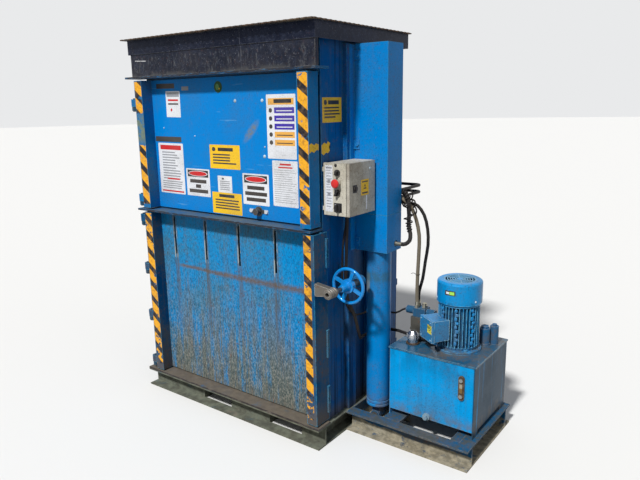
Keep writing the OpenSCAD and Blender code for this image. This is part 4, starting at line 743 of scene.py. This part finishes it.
def barrel_marks(s, tint, gloss):
    """A bare scuff on the right barrel, a worn band, oil below the gland and dirt at the foot."""
    x, y, z = s.axes()
    scuff = s.times(s.band(z, 0.730, 0.830, 0.006), s.band(x, 0.660, 0.700, 0.003), s.rise(y, 0.0, -0.03),
                    s.patches(0.36, 0.5, 30.0, 5.0, 0.7))
    tint = s.stain(tint, scuff, 0.85, srgb(118, 128, 128))
    worn = s.times(s.band(z, 0.790, 0.840, 0.012), s.patches(0.34, 0.5, 30.0, 5.0, 0.7))
    tint = s.stain(tint, worn, 0.6, srgb(58, 96, 110))
    oil = s.times(s.patches(0.52, 0.66, 1.0, 4.0, 0.6, (50.0, 50.0, 1.2)), s.rise(z, 0.3, 0.95))
    tint = s.stain(tint, oil, 0.55, srgb(26, 34, 42))
    foot = s.times(s.rise(z, 0.22, 0.08), s.patches(0.36, 0.56, 20.0, 5.0))
    return s.stain(tint, foot, 0.8, srgb(104, 88, 70)), gloss


dress(weathered("blue barrel paint", srgb(0, 124, 196), fade=0.4, grime=0.25, runs=0.2, rust=0.4, edges=0.8,
                rough=0.36, marks=barrel_marks), "cylinders")
dress(weathered("pin steel", srgb(120, 120, 118), faded=srgb(96, 84, 72), under=BARE, grime=0.5, rust=0.8,
                rough=0.45, metal=0.7), "foot_pins")


# ---- Ram ----------------------------------------------------------------------------------------
# A ribbed platen under a cross beam that reaches out through the wall slots to both rods. The
# paint on its underside is gone. The rods are chromed, with a film of oil.

dress(weathered("ram paint", srgb(30, 84, 120), fade=0.5, grime=0.7, rust=0.7, edges=1.0, under=BARE,
                rough=0.5), "ram_beam")
dress(weathered("scoured platen", srgb(116, 114, 108), faded=srgb(86, 74, 62), under=BARE, fade=0.7,
                grime=0.5, rust=0.7, edges=0.8, rough=0.42, metal=0.6), "ram_platen")
dress(weathered("oiled chrome", srgb(206, 208, 210), faded=srgb(170, 168, 160), under=BARE, fade=0.2,
                grime=0.12, runs=0.2, rust=0.05, edges=0.1, rough=0.14, metal=1.0), "piston_rods")


# ---- Door lock ----------------------------------------------------------------------------------
# A spoked handwheel on a long hub turns the screw that draws the bale door shut. The wheel was
# dipped in glossy light blue. Its bush and bracket are bolted to the guard side.

wheel_finish = weathered("glossy wheel paint", srgb(10, 132, 208), fade=0.2, grime=0.12, runs=0.0, rust=0.25,
                         edges=0.5, rough=0.2, coat=0.6)
dress(wheel_finish, "handwheel")
dress(weathered("lock steel", srgb(70, 82, 92), fade=0.4, faded=srgb(110, 104, 94), grime=0.5, rust=0.7,
                edges=0.8, under=BARE, rough=0.4, metal=0.6), "lock_spindle", "lock_bush")
dress(weathered("lock bracket paint", srgb(10, 96, 152), grime=0.5, rust=0.6, edges=0.8), "lock_bracket")


# ---- Control box --------------------------------------------------------------------------------
# A cream steel box on the right-hand wall with its buttons in the narrow front face. Its door
# faces sideways into shade, and its enamel is a darker copy of the box's: more dirt, and painted
# shade. The stop mushroom is red over a pale collar.

box_finish = weathered("cream box enamel", srgb(206, 202, 188), faded=srgb(188, 180, 158),
                       under=srgb(120, 112, 100), fade=0.5, grime=0.3, runs=0.25, rust=0.35, edges=0.7,
                       rough=0.4)
dress(box_finish, "control_box")
# The door's enamel is darker than the box's: partly more dirt, partly painted shade.
dress(weathered("box door enamel with painted shade", srgb(196, 192, 180), faded=srgb(160, 152, 136),
                under=srgb(110, 104, 94), fade=0.5, grime=0.4, runs=0.35, rust=0.4, edges=0.7,
                rough=0.42), "box_door")
black_plastic = weathered("black moulded plastic", srgb(28, 28, 30), faded=srgb(58, 58, 60),
                          under=srgb(80, 80, 82), fade=0.4, grime=0.2, runs=0.0, rust=0.0, edges=0.4,
                          rough=0.42)
dress(black_plastic, "box_latch", "selector_top", "selector_mid", "isolator_knob")

BOX_FRONT = -0.294
BOX_SIDE = 0.741
door_label("legend_plate", 0.609, 0.650, 1.169, 1.379, "white",
           [(0.10, 0.90, 0.93, 0.97, "grey"), (0.30, 0.70, 0.62, 0.70, "grey"),
            (0.30, 0.70, 0.34, 0.42, "grey")] + print_rows(0.15, 0.85, 0.06, 0.90, 14, "grey", 0.25),
           body="frame", plane=BOX_FRONT)
door_label("isolator_plate", 0.656, 0.699, 1.168, 1.211, "black", [(0.10, 0.34, 0.62, 0.86, "white")],
           body="frame", plane=BOX_FRONT)
dome_head("indicator_lens", "frame", (0.667, BOX_FRONT, 1.380), 0.0075, 0.004, (0, -1, 0), black_plastic)
door_label("label_box_yellow", -0.200, -0.136, 1.237, 1.309, "yellow",
           [(0.30, 0.70, 0.40, 0.74, "black", "triangle"), (0.42, 0.58, 0.45, 0.58, "yellow", "round"),
            (0.12, 0.88, 0.10, 0.20, "dark"), (0.12, 0.88, 0.82, 0.90, "dark")],
           body="panel_door", facing=FACING_RIGHT, plane=BOX_SIDE)
door_label("label_box_strip", -0.158, -0.149, 1.169, 1.235, "white", [], body="panel_door",
           facing=FACING_RIGHT, plane=BOX_SIDE)
door_label("latch_plate", -0.269, -0.234, 1.256, 1.292, "black", [(0.2, 0.8, 0.2, 0.8, "dark")],
           body="panel_door", facing=FACING_RIGHT, plane=BOX_SIDE)
dome_head("panel_plug", "panel_door", (BOX_SIDE, -0.124, 1.356), 0.006, 0.002, (1, 0, 0), pale_head)


def stop_marks(s, tint, gloss):
    """The collar under the red head is pale grey."""
    y = s.axes()[1]
    head = s.rise(y, -0.3150, -0.3160)
    return s.mix(head, s.mix(s.noise(40.0), srgb(176, 172, 164), srgb(140, 136, 128)), tint), gloss


dress(weathered("red stop button", srgb(214, 34, 36), faded=srgb(196, 70, 60), under=srgb(226, 110, 96),
                fade=0.4, grime=0.15, runs=0.0, rust=0.0, edges=0.3, rough=0.3, coat=0.3,
                marks=stop_marks), "stop_button")


# ---- Oil tank -----------------------------------------------------------------------------------
# A welded blue tank on the skid holds the oil, with a bolted lid that overhangs it. Oil has run
# down its right-hand side, which is also painted darker as shade, as is the band under the lid.
# The level glass is amber in a dark frame.

TANK_RIGHT = 1.2520


def tank_marks(s, tint, gloss):
    """Oil runs from the lid, heavier on the right-hand side, painted shade there and under the lid, and dirt
    at the foot.
    """
    x, _, z = s.axes()
    # The right-hand side gets heavier, darker runs: partly oil, partly painted shade.
    side = s.rise(x, TANK_RIGHT - 0.0080, TANK_RIGHT)
    run = s.noise(1.0, 5.0, 0.66, (40.0, 40.0, 1.6), (4.0, 0, 0))
    run = s.rise(s.plus(run, s.times(side, 0.16)), 0.44, 0.60)
    oily = s.times(run, s.plus(0.10, s.times(side, 0.82)))
    tint = s.mix(oily, tint, srgb(34, 42, 44))
    # Darker blue just under the overhanging lid: painted shade.
    shade_under_lid = s.times(s.rise(z, 0.30, 0.46), s.patches(0.42, 0.62, 9.0, 6.0, 0.7, (1.0, 1.0, 0.5)))
    tint = s.stain(tint, shade_under_lid, 0.45, srgb(14, 72, 104))
    foot = s.times(s.rise(z, 0.22, 0.13), s.patches(0.40, 0.62, 18.0, 5.0, 0.7))
    return s.stain(tint, foot, 0.7, srgb(110, 96, 78)), gloss


dress(weathered("tank paint", srgb(0, 152, 222), fade=0.35, grime=0.25, runs=0.15, rust=0.15, edges=0.9,
                under=srgb(120, 132, 132), rough=0.38, marks=tank_marks), "tank")
dress(weathered("oily lid paint", srgb(12, 78, 112), faded=srgb(48, 92, 112), fade=0.6, grime=0.85,
                runs=0.1, rust=0.4, edges=0.9, under=srgb(110, 150, 168), rough=0.28, coat=0.25),
      "tank_lid")

GLASS_Z = 0.350


def glass_marks(s, tint, gloss):
    """Olive oil behind the window, bright bolt heads above and below it, and a blue-grey drain plug."""
    _, y, z = s.axes()
    window = s.times(s.band(z, GLASS_Z - 0.022, GLASS_Z + 0.022, 0.002), s.rise(y, -0.0505, -0.0515))
    oil = s.mix(s.rise(z, GLASS_Z, GLASS_Z + 0.003), srgb(116, 92, 52), srgb(150, 148, 132))
    tint = s.mix(window, tint, oil)
    off_centre = s.math("ABSOLUTE", s.minus(z, GLASS_Z))
    bolt = s.times(s.rise(y, -0.0545, -0.0555), s.rise(off_centre, 0.024, 0.026))
    tint = s.mix(bolt, tint, srgb(132, 138, 138))
    plug = s.mix(s.noise(50.0), srgb(84, 122, 146), srgb(150, 170, 178))
    tint = s.mix(s.rise(z, 0.20, 0.19), tint, plug)
    return tint, s.minus(gloss, s.times(window, 0.25))


dress(weathered("level glass frame", srgb(58, 44, 34), faded=srgb(96, 78, 60), under=srgb(130, 120, 104),
                grime=0.4, rust=0.5, rough=0.4, metal=0.2, marks=glass_marks), "tank_fittings")
dress(weathered("filter head paint", srgb(4, 88, 136), faded=srgb(40, 104, 134), under=BARE, grime=0.7,
                rust=0.3, rough=0.4), "return_filter")
dress(weathered("chromed cap", srgb(200, 202, 204), faded=srgb(150, 148, 142), under=srgb(226, 226, 226),
                fade=0.4, grime=0.25, runs=0.0, rust=0.15, edges=0.4, rough=0.22, metal=0.95),
      "filler_cap")


# ---- Electric motor -----------------------------------------------------------------------------
# A finned cast motor stands on the lid with its fan on top under a pressed cowl. All of it is
# brighter blue than the press. The terminal box leans towards the valves.

MOTOR_AXIS = Vector((1.087, 0.139, 0.0))


def from_axis(s):
    """How far a point lies to the right of the motor's axis, behind it, and away from it."""
    x, y, _ = s.axes()
    right, behind = s.minus(x, MOTOR_AXIS.x), s.minus(y, MOTOR_AXIS.y)
    flat = s.node("ShaderNodeCombineXYZ", {0: right, 1: behind})
    far = s.node("ShaderNodeVectorMath", {0: flat.outputs[0]}, operation="LENGTH").outputs["Value"]
    return right, behind, far


def fin_marks(s, tint, gloss):
    """Painted shade deep in the roots of the fins, partly dust packed there, and dried oil on the flange."""
    z = s.axes()[2]
    # Darker blue deep between the fins: painted shade, with some packed dust.
    fin_root_dust_and_shade = s.times(s.rise(from_axis(s)[2], 0.096, 0.089), s.rise(z, 0.475, 0.482))
    tint = s.stain(tint, fin_root_dust_and_shade, 0.62, srgb(12, 42, 64))
    flange = s.times(s.rise(z, 0.495, 0.478), s.patches(0.40, 0.60, 24.0, 5.0, 0.7))
    tint = s.stain(tint, flange, 0.75, srgb(84, 84, 76))
    return tint, s.plus(gloss, s.times(fin_root_dust_and_shade, 0.3))


COWL_TOP, COWL_RADIUS = 0.8168, 0.108
HOLE_PITCH, HOLES_ROUND = 0.0078, 44.0


def cowl_marks(s, tint, gloss):
    """The pierced disc over the fan: rings of dark holes in pale, dusty metal."""
    z = s.axes()[2]
    right, behind, far = from_axis(s)
    rings = s.math("SINE", s.times(s.math("DIVIDE", far, HOLE_PITCH), math.tau))
    spokes = s.math("SINE", s.times(s.math("ARCTAN2", behind, right), HOLES_ROUND))
    hole = s.rise(s.plus(rings, spokes), 0.35, 0.75)
    disc = s.times(s.rise(z, COWL_TOP - 0.0008, COWL_TOP), s.band(far, 0.014, 0.078, 0.001))
    tint = s.stain(tint, disc, 0.5, srgb(120, 164, 184))
    tint = s.stain(tint, s.times(disc, hole), 0.85, srgb(20, 44, 62))
    foot = s.times(s.rise(z, 0.735, 0.712), s.patches(0.42, 0.60, 26.0, 5.0, 0.7))
    return s.stain(tint, foot, 0.6, srgb(30, 66, 88)), gloss


motor_finish = weathered("motor enamel", srgb(0, 126, 190), fade=0.3, grime=0.55, runs=0.1, rust=0.3,
                         edges=1.0, under=srgb(110, 178, 206), rough=0.36, coat=0.1, pepper=0.7,
                         marks=fin_marks)
dress(motor_finish, "motor_housing")
dress(weathered("terminal box enamel", srgb(0, 130, 192), fade=0.4, grime=0.4, runs=0.1, rust=0.3, edges=1.0,
                under=srgb(150, 186, 200), rough=0.36, coat=0.1, pepper=0.7), "terminal_box")
dress(weathered("cowl enamel", srgb(0, 138, 204), fade=0.35, grime=0.25, runs=0.1, rust=0.25, edges=0.9,
                under=srgb(110, 176, 206), rough=0.34, coat=0.15, pepper=0.6, marks=cowl_marks), "fan_cowl")


def outward(turn):
    """The level direction at that turn from the right."""
    return Vector((math.cos(turn), math.sin(turn), 0.0))


UP = Vector((0.0, 0.0, 1.0))
LID_REACH, STICKER_SIDE, STICKER_FOOT = 0.179, 0.014, 0.574
lid_out = outward(math.radians(235))
lid_across = UP.cross(lid_out)
lid_plane = Matrix((lid_across, UP, lid_out)).transposed().to_4x4()
sticker_at = MOTOR_AXIS + lid_out * LID_REACH + lid_across * STICKER_SIDE + UP * STICKER_FOOT
label("sticker_terminal_box", "frame", Matrix.Translation(sticker_at) @ lid_plane, 0.040, 0.042, "lemon",
      [(0.32, 0.68, 0.32, 0.68, "dark", "round"), (0.40, 0.60, 0.40, 0.60, "lemon", "round")])

PLATE_FROM, PLATE_TO = math.radians(-105), math.radians(-77)


def cowl_plate(name, turn_from, turn_to, low, high, lift, ink):
    """A plate bent round the cowl, spun from its upright edge."""
    bm = bmesh.new()
    foot = MOTOR_AXIS + outward(turn_from) * (COWL_RADIUS + lift)
    edge = bm.edges.new([bm.verts.new(foot + UP * height) for height in (high, low)])
    bmesh.ops.spin(bm, geom=[edge], cent=MOTOR_AXIS, axis=UP, angle=turn_to - turn_from, steps=8)
    finished(bm, name, "frame", INKS[ink])


cowl_plate("label_cowl", PLATE_FROM, PLATE_TO, 0.760, 0.783, 0.0005, "dark")
cowl_plate("label_cowl_white", PLATE_FROM + 0.06, PLATE_FROM + 0.20, 0.766, 0.777, 0.0007, "white")
cowl_plate("label_cowl_green", PLATE_FROM + 0.22, PLATE_TO - 0.05, 0.764, 0.779, 0.0007, "bright_green")
for i, screw_turn in enumerate((-0.40, -2.5, 1.2)):
    screw_out = outward(screw_turn)
    screw_at = MOTOR_AXIS + UP * 0.728 + screw_out * COWL_RADIUS
    dome_head(f"cowl_screw_{i + 1}", "frame", screw_at, 0.0052, 0.003, screw_out, pale_head)
dress(weathered("fan plastic", srgb(44, 46, 48), fade=0.4, faded=srgb(80, 80, 80), grime=0.4, rust=0.0,
                rough=0.5), "cooling_fan")

PAD_RADIUS = 0.0975
PAD_FOOT, PAD_PITCH = 0.520, 0.0205
cast_pads = bmesh.new()
for pad_turn in (-2.02, -1.27, -0.45):
    for row in range(9):
        stagger = 0.003 if row % 2 else -0.003
        height = 0.014 if row % 3 else 0.0185
        centre = MOTOR_AXIS + UP * (PAD_FOOT + row * PAD_PITCH) + outward(pad_turn) * PAD_RADIUS
        pad_at = Matrix.Translation(centre) @ Matrix.Rotation(pad_turn, 4, "Z")
        pad = bmesh.ops.create_cube(cast_pads, size=1.0)["verts"]
        bmesh.ops.scale(cast_pads, vec=(0.009, 0.013, height), verts=pad)
        bmesh.ops.translate(cast_pads, vec=(0, stagger, 0), verts=pad)
        bmesh.ops.transform(cast_pads, matrix=pad_at, verts=pad)
        bmesh.ops.bevel(cast_pads, geom=list({e for v in pad for e in v.link_edges}), offset=0.0024,
                        segments=2, affect="EDGES", profile=0.5, material=-1)
finished(cast_pads, "motor_cast_pads", "frame", motor_finish, smooth=True)


# ---- Valves and fittings ------------------------------------------------------------------------
# A steel block under the hose ends carries one solenoid valve. Oil and dust have caked on it.
# The hose ends are plated, and the pipes behind the press join both cylinders.

dress(weathered("oily valve block", srgb(86, 84, 78), faded=srgb(120, 108, 88), under=BARE, fade=0.7,
                grime=0.8, rust=0.4, rough=0.4, metal=0.5), "valve_block")
dress(weathered("coil casing", srgb(40, 84, 116), faded=srgb(90, 100, 100), under=srgb(150, 150, 146),
                fade=0.6, grime=0.6, rust=0.3, rough=0.42), "solenoid_valve")
dress(weathered("zinc plate", srgb(176, 172, 156), faded=srgb(150, 138, 108), under=BARE, fade=0.6,
                grime=0.4, rust=0.4, edges=0.5, rough=0.34, metal=0.85), "hose_fittings")
dress(weathered("blackened pipe", srgb(20, 22, 26), faded=srgb(48, 50, 52), under=srgb(90, 84, 76),
                grime=0.3, rust=0.3, rough=0.4), "cross_pipes")


# ---- Hoses and cables ---------------------------------------------------------------------------
# Rubber pressure hoses rise from the valve block to the junction on the guard. A looped hose in
# spiral wrap feeds each cylinder, and two cables drop from the control box to the power unit.

rubber = weathered("black hose rubber", srgb(18, 18, 19), faded=srgb(40, 39, 38), under=srgb(60, 58, 56),
                   fade=0.5, grime=0.15, runs=0.0, rust=0.0, edges=0.0, rough=0.55)
dusty_rubber = weathered("dusty hose rubber", srgb(112, 104, 90), faded=srgb(150, 140, 120), fade=0.7,
                         grime=0.5, runs=0.0, rust=0.1, edges=0.0, rough=0.6)
dress(rubber, "hose_black", "hose_loops")
dress(dusty_rubber, "hose_grey")


def smooth_route(points, steps):
    """Points along a curve that passes through every given point."""
    route = []
    padded = [points[0] * 2 - points[1]] + list(points) + [points[-1] * 2 - points[-2]]
    for a, b, c, d in zip(padded, padded[1:], padded[2:], padded[3:]):
        for i in range(steps):
            u = i / steps
            route.append(0.5 * ((2 * b) + (c - a) * u + (2 * a - 5 * b + 4 * c - d) * u ** 2
                                + (3 * b - a - 3 * c + d) * u ** 3))
    return route + [points[-1]]


def frames_along(route, side, start=0, stop=None):
    """Each point of a route with its direction and two directions across it that turn as little as
    they can, the first of them near side at the start."""
    last = len(route) - 1
    for i in range(start, stop or len(route)):
        along = (route[min(i + 1, last)] - route[max(i - 1, 0)]).normalized()
        side = (side - along * side.dot(along)).normalized()
        yield route[i], along, side, along.cross(side)


def ring_points(centre, u, v, count):
    """Points round the ellipse through the ends of u and v."""
    turns = [math.tau * k / count for k in range(count)]
    return [centre + u * math.cos(turn) + v * math.sin(turn) for turn in turns]


def tube_along(bm, route, radius):
    """A closed six-sided tube round a route."""
    rings = [[bm.verts.new(at) for at in ring_points(point, side * radius, other * radius, 6)]
             for point, _, side, other in frames_along(route, Vector((0.31, 0.57, 0.76)))]
    for ring, following in zip(rings, rings[1:]):
        for k in range(6):
            bm.faces.new((ring[k - 1], ring[k], following[k], following[k - 1]))
    bm.faces.new(rings[0][::-1])
    bm.faces.new(rings[-1])


LOOP_ROUTE = [Vector(millimetres) / 1000 for millimetres in (
    (834, 18, 979), (852, 22, 982), (862, 44, 996), (856, 62, 1024), (842, 70, 1064), (842, 72, 1110),
    (840, 70, 1150), (838, 70, 1190), (818, 76, 1222), (796, 84, 1224), (771, 88, 1218))]
WRAP_PITCH, WRAP_WIRE = 0.0125, 0.0032
WRAP_RADIUS, WRAP_SPRUNG = 0.0112, 0.0150
WRAP_START_Z = 1.032
LOOSE_Z, LOOSE_REACH, LOOSE_X = 1.135, 0.030, 0.83
LOOP_WIRE = 0.0036


def spiral_wrap(name, mirror):
    """A strip wound round a looped hose, which has sprung wide for a short length."""
    hose = smooth_route([Vector((mirror * v.x, v.y, v.z)) for v in LOOP_ROUTE], 14)
    start = next(i for i, point in enumerate(hose) if point.z > WRAP_START_Z)
    wound = []
    turn = 0.0
    frames = frames_along(hose, Vector((0.2, 0.9, 0.3)), start, len(hose) - 6)
    for (point, along, side, other), following in zip(frames, hose[start + 1:]):
        stride = (following - point).length
        loose = 0.0
        if point.x * mirror > LOOSE_X:
            loose = min(1.0, max(0.0, 2.2 - abs(point.z - LOOSE_Z) / LOOSE_REACH))
        radius = WRAP_RADIUS + WRAP_SPRUNG * loose
        cuts = max(4, int(stride / WRAP_PITCH * 14))
        for k in range(cuts):
            turn += math.tau * stride / WRAP_PITCH / cuts * (1.0 - 0.82 * loose)
            wound.append(point + along * (stride * k / cuts)
                         + (side * math.cos(turn) + other * math.sin(turn)) * radius)
    wrap = bmesh.new()
    tube_along(wrap, wound, WRAP_WIRE)
    bmesh.ops.recalc_face_normals(wrap, faces=wrap.faces)
    finished(wrap, name, "frame", rubber, smooth=True)


# centre, radius and lean of each open loop on the right-hand side
SPRUNG_LOOPS = (((0.828, 0.086, 1.213), 0.022, 0.5), ((0.814, 0.090, 1.180), 0.020, -0.6),
                ((0.849, 0.094, 1.135), 0.019, 0.9), ((0.846, 0.090, 1.168), 0.017, -0.2))


def sprung_loops(name, mirror):
    """Open loops of the wrap that stand off the hose, each a little longer than wide."""
    loops = bmesh.new()
    for (x, y, z), radius, lean in SPRUNG_LOOPS:
        wide = Vector((mirror * 0.92, 0.39 * math.cos(lean), 0.39 * math.sin(lean))).normalized()
        tall = wide.cross(Vector((mirror * 0.39, -0.92, 0.1))).normalized()
        ring = ring_points(Vector((mirror * x, y, z)), wide * radius, tall * (1.25 * radius), 24)
        tube_along(loops, ring + ring[:1], LOOP_WIRE)
    bmesh.ops.recalc_face_normals(loops, faces=loops.faces)
    finished(loops, name, "frame", rubber, smooth=True)


SIDES = (("right", 1), ("left", -1))
for side_name, mirror in SIDES:
    spiral_wrap(f"spiral_wrap_{side_name}", mirror)
for side_name, mirror in SIDES:
    sprung_loops(f"sprung_wrap_loops_{side_name}", mirror)

TIE_CENTRE, TIE_RADIUS = Vector((0.867, 0.1263, 0.806)), 0.0098
tie = bmesh.new()
tie_ring = ring_points(TIE_CENTRE, Vector((TIE_RADIUS, 0, 0)), Vector((0, TIE_RADIUS, 0)), 18)
tube_along(tie, tie_ring + tie_ring[:1], 0.0014)
tie_tail = (TIE_CENTRE - Vector((TIE_RADIUS, 0, 0)), Vector((0.846, 0.121, 0.812)),
            Vector((0.834, 0.117, 0.808)))
tube_along(tie, smooth_route(tie_tail, 6), 0.0013)
bmesh.ops.recalc_face_normals(tie, faces=tie.faces)
finished(tie, "hose_cable_tie", "frame", rubber, smooth=True)
dress(weathered("cable sheath", srgb(22, 21, 22), faded=srgb(46, 42, 40), fade=0.5, grime=0.25, runs=0.0,
                rust=0.0, edges=0.0, rough=0.55), "cables")
